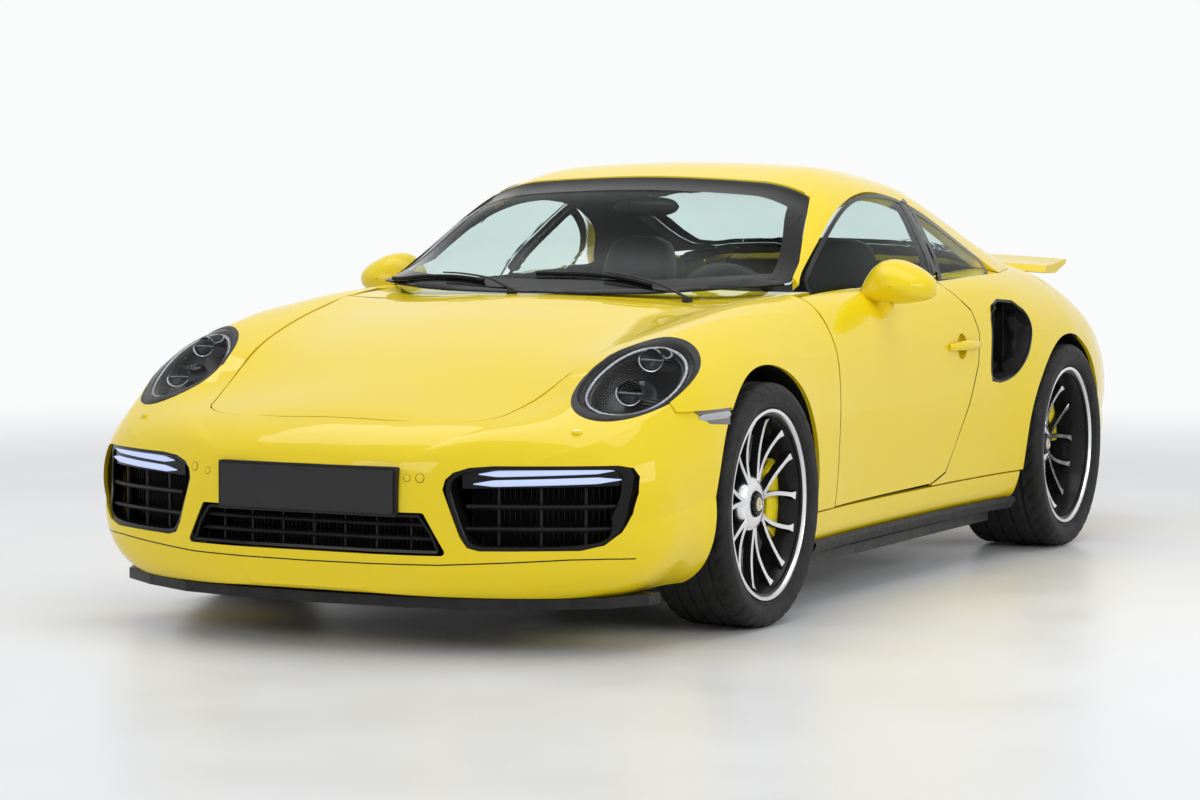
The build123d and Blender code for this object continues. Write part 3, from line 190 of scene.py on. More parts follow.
def makePaint():
    # Solid yellow under clear coat, with a trace of orange peel.
    material, tree, shader = newMaterial("bodyPaint")
    setSockets(shader, {"Roughness": paintLook["roughness"], "IOR": 1.45, "Specular IOR Level": 0.06,
                        "Coat Weight": 0.8, "Coat Roughness": 0.03, "Coat IOR": 1.42})  # fmt: skip
    cloud = noiseNode(tree, paintLook["cloudScale"])
    colour = mixColour(tree, cloud, paintLook["colour"], paintLook["deep"])
    dust = useGroup(tree, dustGroup, {"Amount": 0.02, "Scale": 14.0})
    link(tree, mixColour(tree, dust, colour, paintLook["dusty"]), shader.inputs["Base Color"])
    peel = noiseNode(tree, paintLook["peelScale"], 1.0)
    link(tree, bumpNode(tree, peel, 0.02, paintLook["peelDepth"]), shader.inputs["Coat Normal"])
    return material


dustColour, roughnessSpread = (0.28, 0.26, 0.23), 0.07


def makePlain(name, colour, roughness, grain=None, dust=0.06, metallic=0.0, coat=0.0, wear=dustColour,
              shine=0.22):
    # Moulded or painted surface: slight cloud in the colour, grain in the height, dust on top.
    material, tree, shader = newMaterial(name)
    setSockets(shader, {"Metallic": metallic, "Coat Weight": coat, "Coat Roughness": 0.08, "Coat IOR": 1.35,
                        "Specular IOR Level": shine})  # fmt: skip
    cloud = noiseNode(tree, 22.0, 4.0)
    lighter = tuple(min(1.0, c * 1.3 + 0.001) for c in colour)
    base = mixColour(tree, cloud, colour, lighter)
    amount = useGroup(tree, dustGroup, {"Amount": dust, "Scale": 16.0})
    link(tree, mixColour(tree, amount, base, wear), shader.inputs["Base Color"])
    fine = noiseNode(tree, 60.0, 5.0)
    low, high = max(0.02, roughness - roughnessSpread), min(1.0, roughness + roughnessSpread)
    link(tree, greyRamp(tree, fine, low, high), shader.inputs["Roughness"])
    if grain:
        height = useGroup(tree, grainGroup, {"Scale": grain[0], "Depth": 1.0})
        link(tree, bumpNode(tree, height, grain[1], 0.0006), shader.inputs["Normal"])
    return material


def makeGlass(name, tint):
    # Thin glass that hardly bends what is seen through it.
    material, tree, shader = newMaterial(name)
    setSockets(shader, {"Transmission Weight": 1.0, "IOR": 1.08, "Roughness": 0.0})
    haze = noiseNode(tree, 5.0, 4.0)
    darker = tuple(c * 0.96 for c in tint)
    link(tree, mixColour(tree, haze, tint, darker), shader.inputs["Base Color"])
    return material


def makeGlow(name, colour, strength):
    # Light strip with fine cells in it.
    material, tree, shader = newMaterial(name)
    setSockets(shader, {"Roughness": 0.25, "Emission Strength": strength})
    shader.inputs["Base Color"].default_value = (*colour, 1.0)
    cells = noiseNode(tree, 140.0, 2.0)
    link(tree, mixColour(tree, cells, colour, tuple(c * 0.8 for c in colour)),
         shader.inputs["Emission Color"])
    return material


def makeMachined(name, colour, roughness):
    # Turned or milled light metal with a fine broken sheen.
    material, tree, shader = newMaterial(name)
    setSockets(shader, {"Metallic": 1.0})
    cloud = noiseNode(tree, 30.0, 3.0)
    link(tree, mixColour(tree, cloud, colour, tuple(c * 0.9 for c in colour)), shader.inputs["Base Color"])
    lines = noiseNode(tree, 700.0, 2.0)
    link(tree, greyRamp(tree, lines, roughness * 0.8, roughness * 1.25), shader.inputs["Roughness"])
    link(tree, bumpNode(tree, lines, 0.04, 0.0002), shader.inputs["Normal"])
    return material


looks = {
    "paint": makePaint(),
    "glass": makeGlass("tintedGlass", (0.80, 0.90, 0.88)),
    "lampGlass": makeGlass("clearLens", (0.97, 0.98, 0.99)),
    "lamp_red": makePlain("redLens", (0.33, 0.004, 0.005), 0.16, dust=0.01, coat=0.5,
                          wear=(0.4, 0.03, 0.03)),
    "lamp_white": makeGlow("lightStrip", (0.46, 0.54, 0.80), 0.48),
    "lamp_amber": makePlain("smokedMarker", (0.09, 0.085, 0.08), 0.15, dust=0.03, coat=1.0),
    "black_plastic": makePlain("blackMoulding", (0.009, 0.009, 0.010), 0.45, (1100.0, 0.25), 0.035),
    "glossBlack": makePlain("glossBlackTrim", (0.004, 0.004, 0.0045), 0.20, dust=0.01, coat=0.25,
                            shine=0.12),
    "plate": makePlain("plateFace", (0.020, 0.020, 0.021), 0.42, dust=0.02),
    "steel": makePlain("underbodySteel", (0.03, 0.03, 0.032), 0.55, (300.0, 0.3), 0.12),
    "iron": makeMachined("brakeIron", (0.42, 0.42, 0.43), 0.32),
    "caliper": makePlain("caliperPaint", (0.90, 0.66, 0.01), 0.28, dust=0.05, coat=0.7,
                         wear=(0.5, 0.42, 0.2)),
    "alloy": makePlain("wheelBlack", (0.008, 0.008, 0.009), 0.32, dust=0.02, coat=0.2, shine=0.15),
    "machined": makeMachined("machinedFace", (0.80, 0.80, 0.81), 0.22),
    "tyre": makePlain("tyreRubber", (0.013, 0.013, 0.014), 0.62, (700.0, 0.25), 0.045),
    "trim": makePlain("cabinTrim", (0.02, 0.02, 0.021), 0.6, (1300.0, 0.35), 0.05),
    "leather": makePlain("seatLeather", (0.022, 0.021, 0.021), 0.48, (650.0, 0.5), 0.03),
}


def setMaterial(thing, material):
    thing.data.materials.clear()
    thing.data.materials.append(material)


slotOf = {part["node"]: part["material_slot"] for part in frame["record"]["subparts"]}
for nodeName, thing in nodes.items():
    setMaterial(thing, looks[slotOf[nodeName]])
setMaterial(nodes["headlamp_lenses"], looks["lampGlass"])
print("materials on the carried-over solids")


# Metres, degrees and millimetres of lens.
cameraView = {"place": (4.481, -9.6445, 1.1879), "yaw": 26.19, "pitch": -3.54, "roll": 0.23, "lens": 100.09,
              "farthest": 200.0}  # fmt: skip


def makeCamera():
    # Long lens a little under roof height, ahead and to the car's left.
    data = bpy.data.cameras.new("viewCamera")
    data.lens, data.sensor_width, data.sensor_fit = cameraView["lens"], 36.0, "HORIZONTAL"
    data.clip_end = cameraView["farthest"]
    camera = bpy.data.objects.new("viewCamera", data)
    yaw = Matrix.Rotation(math.radians(cameraView["yaw"]), 4, "Z")
    pitch = Matrix.Rotation(math.radians(90 + cameraView["pitch"]), 4, "X")
    roll = Matrix.Rotation(math.radians(cameraView["roll"]), 4, "Z")
    camera.matrix_world = Matrix.Translation(cameraView["place"]) @ (yaw @ pitch @ roll)
    bpy.context.scene.collection.objects.link(camera)
    bpy.context.scene.camera = camera


# Place, what it points at, size and watts of each softbox.
softboxes = {
    "topSoftbox": ((0.0, -0.5, 5.2), (0, 0, 0), (7.0, 3.2), 130),
    "sideSoftbox": ((6.0, -2.0, 2.8), (0, 0, 0.6), (5.0, 2.0), 96),
    "noseSoftbox": ((-1.5, -7.5, 3.2), (0, -1.5, 0.5), (4.0, 2.0), 70),
}


def makeAreaLight(name, place, target, size, power):
    data = bpy.data.lights.new(name, "AREA")
    data.shape, data.energy = "RECTANGLE", power
    data.size, data.size_y = size
    lamp = bpy.data.objects.new(name, data)
    lamp.location = place
    lamp.rotation_euler = (Vector(target) - Vector(place)).to_track_quat("-Z", "Y").to_euler()
    bpy.context.scene.collection.objects.link(lamp)


backgroundColour, skyColour = (0.955, 0.96, 0.965), (0.55, 0.56, 0.58)


def seenRays(tree):
    # Full for rays from the camera, and for those that glass and gloss send on.
    rays = tree.nodes.new("ShaderNodeLightPath")
    seen = mathNode(tree, "MAXIMUM", rays.outputs["Is Camera Ray"], rays.outputs["Is Transmission Ray"])
    return mathNode(tree, "MAXIMUM", seen, rays.outputs["Is Glossy Ray"])


def makeWorld():
    # The sky lights with one grey and shows a paler one as background.
    world = bpy.data.worlds.new("studioWorld")
    bpy.context.scene.world = world
    world.use_nodes = True
    tree = world.node_tree
    background = tree.nodes["Background"]
    link(tree, mixColour(tree, seenRays(tree), skyColour, backgroundColour), background.inputs["Color"])
    background.inputs["Strength"].default_value = 1.0


floorLook = {"size": 30.0, "colour": (0.80, 0.805, 0.81), "fadeStart": 3.6, "fadeEnd": 9.0}


def makeFloor():
    # Pale floor that passes into the background colour away from the car.
    mesh = bpy.data.meshes.new("studioFloor")
    shape = bmesh.new()
    bmesh.ops.create_grid(shape, x_segments=6, y_segments=6, size=floorLook["size"])
    shape.to_mesh(mesh)
    shape.free()
    floor = bpy.data.objects.new("studioFloor", mesh)
    bpy.context.scene.collection.objects.link(floor)
    material, tree, shader = newMaterial("studioFloorPaint")
    colour = floorLook["colour"]
    cloud = noiseNode(tree, 0.7, 5.0)
    link(tree, mixColour(tree, cloud, colour, tuple(c * 1.06 for c in colour)), shader.inputs["Base Color"])
    link(tree, greyRamp(tree, noiseNode(tree, 2.0, 4.0), 0.30, 0.40), shader.inputs["Roughness"])
    geometry = tree.nodes.new("ShaderNodeNewGeometry")
    away = tree.nodes.new("ShaderNodeVectorMath")
    away.operation = "LENGTH"
    link(tree, geometry.outputs["Position"], away.inputs[0])
    spread = tree.nodes.new("ShaderNodeMapRange")
    spread.interpolation_type = "SMOOTHSTEP"
    setSockets(spread, {"From Min": floorLook["fadeStart"], "From Max": floorLook["fadeEnd"]})
    link(tree, away.outputs["Value"], spread.inputs["Value"])
    glow = tree.nodes.new("ShaderNodeEmission")
    glow.inputs["Color"].default_value = (*backgroundColour, 1.0)
    blend = tree.nodes.new("ShaderNodeMixShader")
    link(tree, mathNode(tree, "MULTIPLY", spread.outputs["Result"], seenRays(tree)), blend.inputs[0])
    link(tree, shader.outputs[0], blend.inputs[1])
    link(tree, glow.outputs[0], blend.inputs[2])
    output = next(node for node in tree.nodes if node.type == "OUTPUT_MATERIAL")
    link(tree, blend.outputs[0], output.inputs["Surface"])
    setMaterial(floor, material)


bpy.context.scene.view_settings.view_transform = "Standard"
makeCamera()
makeWorld()
makeFloor()
for name, values in softboxes.items():
    makeAreaLight(name, *values)
print("camera, lights and floor")


def turns(count):
    # Angles of equal steps round a circle.
    return [2 * math.pi * i / count for i in range(count)]


class Shape:
    # Points and faces of one piece, gathered from swept, turned and lofted parts.

    def __init__(self):
        self.points, self.faces, self.lookOf = [], [], []

    def grid(self, rows, look=0, closeRows=False, closeColumns=False, flip=False):
        # Quads between rows of equally many points.
        base, wide = len(self.points), len(rows[0])
        for row in rows:
            self.points.extend(tuple(point) for point in row)
        rowSteps = len(rows) if closeRows else len(rows) - 1
        columnSteps = wide if closeColumns else wide - 1
        for i in range(rowSteps):
            for j in range(columnSteps):
                a, b = base + i * wide, base + ((i + 1) % len(rows)) * wide
                face = (a + j, a + (j + 1) % wide, b + (j + 1) % wide, b + j)
                self.faces.append(face[::-1] if flip else face)
                self.lookOf.append(look)

    def cap(self, ring, look=0, flip=False):
        # One flat face over a ring.
        base = len(self.points)
        self.points.extend(tuple(point) for point in ring)
        face = tuple(range(base, base + len(ring)))
        self.faces.append(face[::-1] if flip else face)
        self.lookOf.append(look)

    def loft(self, rings, look=0, flip=False):
        # Closed rings joined along their length, with flat ends.
        self.grid(rings, look, closeColumns=True, flip=flip)
        self.cap(rings[0], look, flip=not flip)
        self.cap(rings[-1], look, flip=flip)

    def turned(self, profile, look, count):
        # profile holds (radius, distance outboard); turned about the X axis.
        rows = []
        for angle in turns(count):
            rows.append([(x, radius * math.cos(angle), radius * math.sin(angle)) for radius, x in profile])
        self.grid(rows, look, closeRows=True)

    def turnedLooks(self, profile, looksAlong, count):
        # As turned, with one look for each band of the profile.
        for k, look in enumerate(looksAlong):
            self.turned(profile[k : k + 2], look, count)

    def tube(self, path, radius, look=0, sides=8, closed=False, flat=1.0, up=(0, 0, 1)):
        # Round or flattened tube along a path; radius may be one number or one for each point.
        rings = []
        for k, point in enumerate(path):
            before = path[k - 1] if k or closed else path[0]
            after = path[(k + 1) % len(path)] if k < len(path) - 1 or closed else path[-1]
            along = (Vector(after) - Vector(before)).normalized()
            side = along.cross(Vector(up))
            side = side.normalized() if side.length > 1e-6 else along.orthogonal().normalized()
            rise = side.cross(along)
            size = radius[k] if isinstance(radius, (list, tuple)) else radius
            rings.append([Vector(point) + side * (size * math.cos(a)) + rise * (size * flat * math.sin(a))
                          for a in turns(sides)])  # fmt: skip
        if closed:
            self.grid(rings, look, closeRows=True, closeColumns=True, flip=True)
        else:
            self.loft(rings, look, flip=True)

    def upright(self, centre, radius, height):
        # Low upright domed cap.
        rings = [[(centre.x + radius * s * math.cos(a), centre.y + radius * s * math.sin(a), centre.z + h)
                  for a in turns(20)]
                 for s, h in ((1, -0.006), (1, height * 0.6), (0.8, height), (0.05, height))]  # fmt: skip
        self.grid(rings, 0, closeColumns=True)

    def moved(self, matrix):
        # Same shape under a matrix; a mirror turns its faces round.
        other = Shape()
        other.points = [tuple(matrix @ Vector(point)) for point in self.points]
        other.faces = [face[::-1] if matrix.determinant() < 0 else face for face in self.faces]
        other.lookOf = list(self.lookOf)
        return other

    def piece(self, name, materials, body, slot, sharp=35.0, merge=1e-5):
        # Finished object on a body, smooth apart from edges sharper than the angle in degrees.
        mesh = bpy.data.meshes.new(name)
        mesh.from_pydata(self.points, [], self.faces)
        for material in materials:
            mesh.materials.append(material)
        mesh.polygons.foreach_set("material_index", self.lookOf)
        edit = bmesh.new()
        edit.from_mesh(mesh)
        bmesh.ops.remove_doubles(edit, verts=edit.verts, dist=merge)
        bmesh.ops.recalc_face_normals(edit, faces=edit.faces)
        edit.to_mesh(mesh)
        edit.free()
        mesh.polygons.foreach_set("use_smooth", [True] * len(mesh.polygons))
        mesh.set_sharp_from_angle(angle=math.radians(sharp))
        thing = bpy.data.objects.new(name, mesh)
        bpy.context.scene.collection.objects.link(thing)
        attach(thing, body)
        return thing


mirrorX = Matrix.Scale(-1, 4, (1, 0, 0))
bothSides = (("left", Matrix.Identity(4)), ("right", mirrorX))


def mixed(a, b, share):
    return a + (b - a) * share


def squared(value, power):
    # Sine or cosine drawn towards its ends, so that a circle becomes a rounded box.
    return math.copysign(abs(value) ** power, value)


def eased(share):
    # Share with a smooth start and end.
    return share * share * (3 - 2 * share)


def refined(points, times=1, closed=False):
    # Corner-cutting that rounds a polyline.
    for _ in range(times):
        fresh = [] if closed else [points[0]]
        last = len(points) if closed else len(points) - 1
        for k in range(last):
            a, b = Vector(points[k]), Vector(points[(k + 1) % len(points)])
            fresh += [a.lerp(b, 0.25), a.lerp(b, 0.75)]
        points = fresh if closed else fresh + [points[-1]]
    return [Vector(point) for point in points]


def evenly(points, count, closed=False):
    # Points at equal steps along a polyline.
    run = [Vector(point) for point in points] + ([Vector(points[0])] if closed else [])
    lengths = [(b - a).length for a, b in zip(run, run[1:])]
    total, result = sum(lengths), []
    steps = count if closed else count - 1
    for k in range(count):
        goal = total * k / steps
        for j, size in enumerate(lengths):
            if goal <= size or j == len(lengths) - 1:
                result.append(run[j].lerp(run[j + 1], min(1.0, goal / size) if size else 0.0))
                break
            goal -= size
    return result


def smoothLoop(corners, count):
    # Flat corners rounded off, as an even closed loop of flat points.
    return [(p.x, p.y) for p in evenly(refined([Vector((*p, 0)) for p in corners], 2, True), count, True)]


class Surface:
    # Finds places on the outer skin of some of the carried-over solids.

    def __init__(self, *names):
        points, faces = [], []
        for name in names:
            mesh, base = nodes[name].data, len(points)
            points.extend(vertex.co.copy() for vertex in mesh.vertices)
            faces.extend([base + i for i in polygon.vertices] for polygon in mesh.polygons)
        self.tree = BVHTree.FromPolygons(points, faces)

    def hit(self, origin, direction):
        place, normal, _, _ = self.tree.ray_cast(Vector(origin), Vector(direction).normalized())
        if place is not None and normal.dot(Vector(direction)) > 0:
            normal = -normal
        return place, normal

    def side(self, y, z, reach=2.0):
        return self.hit((reach, y, z), (-1, 0, 0))

    def top(self, x, y, reach=2.0):
        return self.hit((x, y, reach), (0, 0, -1))

    def nose(self, x, z, reach=-4.0):
        return self.hit((x, reach, z), (0, 1, 0))

    def tail(self, x, z, reach=4.0):
        return self.hit((x, reach, z), (0, -1, 0))


def strip(shape, path, normals, profile):
    # Profile of (across, proud) swept along a path that lies on a surface.
    rows = []
    for k, point in enumerate(path):
        before, after = path[max(0, k - 1)], path[min(len(path) - 1, k + 1)]
        across = (after - before).normalized().cross(normals[k]).normalized()
        rows.append([point + across * a + normals[k] * b for a, b in profile])
    shape.loft(rows)


def onSurface(probe, flatPoints, count):
    # Flat points, each given to the probe, as places and normals on the skin.
    places, normals = [], []
    for point in evenly([Vector((*p, 0.0)) for p in flatPoints], count):
        place, normal = probe(point.x, point.y)
        if place is not None:
            places.append(place)
            normals.append(normal)
    return places, normals


wheelSizes = {
    "front": {"x": 0.770, "y": frontAxleY, "radius": 0.338, "width": 0.245, "face": 0.078, "disc": 0.205},
    "rear": {"x": 0.784, "y": rearAxleY, "radius": 0.344, "width": 0.305, "face": 0.070, "disc": 0.195},
}
rimLook = {"flange": 0.264, "seatDrop": 0.019, "pairs": 7, "phase": 16.0, "rootTurn": 2.6, "tipTurn": 14.4,
           "faceWidth": 0.0062, "backWidth": 0.0085, "depth": 0.024, "hatDepth": 0.0523}  # fmt: skip
treadLook = {"grooves": (0.19, 0.40, 0.60, 0.81), "grooveHalf": 0.022, "grooveDepth": 0.0065,
             "cutDepth": 0.0035, "steps": 320}  # fmt: skip


def makeTyre(size):
    # Carcass with a rim protector, ribs between four round grooves and cross cuts on the shoulders.
    radius, half = size["radius"], size["width"] / 2
    flange = rimLook["flange"]
    seat = flange - rimLook["seatDrop"]
    sideProfile = [
        (seat + 0.001, half - 0.040), (flange + 0.0005, half - 0.0245), (flange + 0.004, half - 0.016),
        (flange + 0.009, half - 0.0085), (flange + 0.013, half - 0.0095),
        (flange + 0.017, half - 0.0065), (flange + 0.0175, half - 0.0058),
        (flange + 0.028, half - 0.0022), (radius - 0.034, half - 0.0006),
        (radius - 0.026, half - 0.0012), (radius - 0.0255, half - 0.0022),
        (radius - 0.016, half - 0.0048), (radius - 0.009, half - 0.0105),
        (radius - 0.0045, half - 0.018), (radius - 0.0022, half - 0.027),
    ]  # fmt: skip
    tread = []
    inner = half - 0.027
    for k in range(1, 40):
        share = k / 40
        x = inner - 2 * inner * share
        grooved = min(abs(share - g) for g in treadLook["grooves"]) < treadLook["grooveHalf"]
        depth = treadLook["grooveDepth"] if grooved else 0.0
        crown = 0.0022 * (2 * share - 1) ** 2
        tread.append((radius - crown - depth - 0.0002, x))
    profile = sideProfile + tread + [(r, -x) for r, x in reversed(sideProfile)]
    rows = []
    for step, angle in enumerate(turns(treadLook["steps"])):
        row = []
        for r, x in profile:
            outer = abs(x) > half * 0.60 and r > radius - 0.017
            slant = int(step + abs(x) * 160) % 8
            cut = treadLook["cutDepth"] if outer and slant in (0, 1) else 0.0
            middle = abs(x) < half * 0.60 and r > radius - 0.004 and int(step + x * 300) % 16 == 0
            r -= cut + (0.0025 if middle else 0.0)
            row.append((x, r * math.cos(angle), r * math.sin(angle)))
        rows.append(row)
    shape = Shape()
    shape.grid(rows, 0, closeRows=True)
    return shape


def spokeStation(size, middle, turn, share):
    # Centre of a spoke's front face and its direction, from the hub (0) to the rim (1).
    root, reach = 0.066, rimLook["flange"] - rimLook["seatDrop"] - 0.006 - 0.004
    radius = mixed(root, reach, share)
    bend = share**0.82
    angle = math.radians(middle + turn * mixed(rimLook["rootTurn"], rimLook["tipTurn"], bend))
    dish = size["face"] + mixed(-0.017, 0.002, share) - 0.010 * math.sin(math.pi * share)
    if share > 0.9:
        dish += 0.004 * (share - 0.9) / 0.1
    return Vector((dish, radius * math.cos(angle), radius * math.sin(angle)))


def makeRim(size):
    # Black barrel with a bright lip, a bright ring round the nut, and pairs of spokes.
    half, flange = size["width"] / 2 - 0.003, rimLook["flange"]
    seat, shape = flange - rimLook["seatDrop"], Shape()
    barrel = seat - 0.006 - 0.007
    shape.turnedLooks(
        [(seat, half - 0.042), (seat, half - 0.024), (flange - 0.001, half - 0.0215),
         (flange + 0.0006, half - 0.018), (flange + 0.0006, half - 0.0135),
         (flange - 0.001, half - 0.0118), (flange - 0.009, half - 0.0112),
         (flange - 0.0105, half - 0.0125), (flange - 0.013, half - 0.020),
         (flange - 0.016, half - 0.022), (flange - 0.019, half - 0.030), (barrel, half - 0.052),
         (barrel - 0.004, 0.0), (barrel, 0.06 - half), (seat - 0.007, 0.016 - half),
         (flange - 0.002, 0.0155 - half), (flange, 0.0185 - half), (flange - 0.001, 0.022 - half),
         (seat, 0.0245 - half), (seat, 0.046 - half)],
        [0, 0, 0, 1, 1, 1, 1, 1, 0, 0, 0, 0, 0, 0, 0, 0, 0, 0, 0], 128,
    )  # fmt: skip
    face = size["face"]
    shape.turnedLooks(
        [(0.036, face - 0.030), (0.0365, face - 0.0118), (0.039, face - 0.0105), (0.050, face - 0.0112),
         (0.060, face - 0.0135), (0.070, face - 0.018), (0.078, face - 0.026), (0.082, face - 0.040),
         (0.084, face - 0.052)],
        [0, 1, 1, 1, 1, 1, 1, 0], 96,
    )  # fmt: skip
    steps, out = 14, Vector((1, 0, 0))
    for pair in range(rimLook["pairs"]):
        middle = rimLook["phase"] + 360 / rimLook["pairs"] * pair
        for turn in (-1, 1):
            path = [spokeStation(size, middle, turn, k / steps) for k in range(steps + 1)]
            front, back = [], []
            for k, point in enumerate(path):
                before, after = path[max(0, k - 1)], path[min(steps, k + 1)]
                across = (after - before).normalized().cross(out).normalized()
                share = k / steps
                root, tip = 1 - min(1, share / 0.22), max(0, (share - 0.88) / 0.12)
                flare = 1 + 0.45 * root**2 + 0.9 * tip**2
                wide = rimLook["faceWidth"] * flare
                wideBack = max(rimLook["backWidth"] * flare * 0.9, wide * 1.12)
                deep = rimLook["depth"] * mixed(1.35, 1.0, min(1, share / 0.3))
                front.append([point - across * wide, point - across * wide * 0.9 + out * 0.0009,
                              point + across * wide * 0.9 + out * 0.0009,
                              point + across * wide])  # fmt: skip
                back.append([point - across * wide, point - across * wideBack - out * deep * 0.3,
                             point - across * wideBack * 0.8 - out * deep,
                             point + across * wideBack * 0.8 - out * deep,
                             point + across * wideBack - out * deep * 0.3,
                             point + across * wide])  # fmt: skip
            shape.grid(front, 1, flip=True)
            shape.grid(back, 0)
        # web that joins the two spokes at the hub
        left = [spokeStation(size, middle, -1, k / 10 * 0.28) for k in range(6)]
        right = [spokeStation(size, middle, 1, k / 10 * 0.28) for k in range(6)]
        shape.grid([[a.lerp(b, t) + Vector((0.0002, 0, 0)) for t in (0.0, 0.33, 0.67, 1.0)]
                    for a, b in zip(left, right)], 1)  # fmt: skip
        drop = Vector((-rimLook["depth"], 0, 0))
        shape.grid([[left[-1].lerp(right[-1], t) for t in (0.0, 0.5, 1.0)],
                    [left[-1].lerp(right[-1], t) + drop for t in (0.0, 0.5, 1.0)]], 0)  # fmt: skip
    return shape


nutLook = {"teeth": 12, "notch": 0.0032}


def makeCentre(size):
    # Star-shaped centre nut in black with a small bare round cap.
    face, shape, rows = size["face"], Shape(), []
    profile = [(0.0365, -0.024), (0.0355, -0.006), (0.033, -0.002), (0.027, 0.0), (0.0205, 0.0004),
               (0.0195, -0.002)]
    for step, angle in enumerate(turns(nutLook["teeth"] * 8)):
        notch = nutLook["notch"] if step % 8 in (0, 1, 2) else 0.0
        row = []
        for k, (r, x) in enumerate(profile):
            r -= notch if k < 4 else 0
            row.append((face - 0.0035 + x, r * math.cos(angle), r * math.sin(angle)))
        rows.append(row)
    shape.grid(rows, 0, closeRows=True)
    shape.turnedLooks([(0.0195, face - 0.0055), (0.019, face - 0.0022), (0.0175, face - 0.0015),
                       (0.0165, face - 0.0025), (0.008, face - 0.0018),
                       (0.0001, face - 0.0015)], [1, 1, 1, 2, 2], 64)  # fmt: skip
    return shape


discLook = {"rings": 6, "sectors": 72, "holeRadius": 0.0031, "holeDepth": 0.009, "inside": 0.128,
            "thick": 0.034}  # fmt: skip


def makeBrakeDisc(size):
    # Friction ring with real cross-drilled holes in sweeping rows, on a black bell.
    look, shape, radius = discLook, Shape(), size["disc"]
    outer = size["face"] - rimLook["hatDepth"] - 0.010
    inner = outer - look["thick"]
    rings, sectors = look["rings"], look["sectors"]
    low, high = look["inside"], radius - 0.004
    for sector in range(sectors):
        for ring in range(rings):
            r0, r1 = mixed(low, high, ring / rings), mixed(low, high, (ring + 1) / rings)
            a0 = 2 * math.pi * (sector + 0.25 * ring) / sectors
            a1 = a0 + 2 * math.pi / sectors
            rm, am = (r0 + r1) / 2, (a0 + a1) / 2
            corners = [(r0, a0), (r0, am), (r0, a1), (rm, a1), (r1, a1), (r1, am), (r1, a0), (rm, a0)]
            border = [(outer, r * math.cos(a), r * math.sin(a)) for r, a in corners]
            if (sector + ring) % 2:
                shape.cap(border, 0)
                continue
            middle = Vector((outer, rm * math.cos(am), rm * math.sin(am)))
            hole = [middle + (Vector(p) - middle).normalized() * look["holeRadius"] for p in border]
            bottom = [p - Vector((look["holeDepth"], 0, 0)) for p in hole]
            shape.grid([border, hole], 0, closeColumns=True)
            # The hole's wall and its floor take the dark bell material: painted shade in the hole.
            shape.grid([hole, bottom], 1, closeColumns=True)
            shape.cap(bottom, 1)
    shape.turnedLooks(
        [(0.066, outer + 0.0095), (0.084, outer + 0.0095), (0.108, outer + 0.0025), (0.112, outer + 0.0015),
         (0.126, outer + 0.0001), (0.128, outer)], [1, 1, 1, 1, 1], 72,
    )  # fmt: skip
    shape.turnedLooks([(radius - 0.004, outer), (radius - 0.001, outer), (radius, outer - 0.001),
                       (radius, inner + 0.001), (radius - 0.001, inner), (0.110, inner),
                       (0.100, outer - 0.014), (0.066, outer - 0.014)],
                      [0, 0, 0, 0, 0, 0, 1], 72)  # fmt: skip
    return shape


caliperLook = {"span": 60, "steps": 24, "bosses": 3, "bulge": 0.0035, "deep": 0.062,
               "angles": {"front": 0.0, "rear": 30.0}}  # fmt: skip


def makeCaliper(size, angle):
    # Painted caliper that bridges the disc, with three bosses in its face.
    look, shape, radius, face = caliperLook, Shape(), size["disc"], size["face"] - rimLook["hatDepth"]
    span, steps = math.radians(look["span"]), look["steps"]
    rings = []
    for k in range(steps + 1):
        share = k / steps
        turn = math.radians(angle) - span / 2 + span * share
        ends = 1 - 0.28 * abs(2 * share - 1) ** 6
        bulge = look["bulge"] * abs(math.sin(look["bosses"] * math.pi * share))
        low, high = radius - look["deep"] * ends, radius + 0.0175
        outline = [(low, 0.004), (low + 0.004, 0.0125 + bulge), (radius - 0.030, 0.0145 + bulge),
                   (radius - 0.006, 0.0150 + bulge * 0.5), (high - 0.006, 0.0115), (high, 0.004),
                   (high + 0.0012, -0.020), (high, -0.050), (high - 0.008, -0.070),
                   (low + 0.004, -0.0725), (low, -0.066), (low, -0.0625), (radius + 0.0075, -0.0615),
                   (radius + 0.0075, -0.0025), (low, -0.0025)]
        rings.append([(face + x, r * math.cos(turn), r * math.sin(turn)) for r, x in outline])
    shape.loft(rings, 0, flip=True)
    return shape


wheelLooks = {"tyre": [looks["tyre"]], "rim": [looks["alloy"], looks["machined"]],
              "centre": [looks["glossBlack"], looks["machined"],
                         makePlain("capFace", (0.55, 0.42, 0.20), 0.3, metallic=0.8, coat=0.5)],
              "disc": [looks["iron"], looks["steel"]]}  # fmt: skip

for end, size in wheelSizes.items():
    shapes = {"tyre": makeTyre(size), "rim": makeRim(size), "centre": makeCentre(size),
              "disc": makeBrakeDisc(size)}
    caliper = makeCaliper(size, caliperLook["angles"][end])
    for side, sign in (("left", 1), ("right", -1)):
        place = Matrix.Translation((sign * size["x"], size["y"], size["radius"]))
        place = place if sign > 0 else place @ mirrorX
        body = f"{end}_{side}_wheel"
        slots = {"tyre": "tyre", "rim": "alloy", "centre": "alloy", "disc": "iron"}
        built = {}
        for kind, shape in shapes.items():
            built[kind] = shape.moved(place).piece(f"{kind}_{end}_{side}_dressed", wheelLooks[kind], body,
                                                   slots[kind])
        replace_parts(built["tyre"], f"tyre_{end}_{side}")
        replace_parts(built["rim"], f"rim_{end}_{side}")
        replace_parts(built["disc"], f"brake_disc_{end}_{side}")
        holder = f"front_{side}_steer" if end == "front" else "body_shell"
        caliper.moved(place).piece(f"caliper_{end}_{side}", [looks["caliper"]], holder, "caliper")
print("wheels, tyres and brakes")


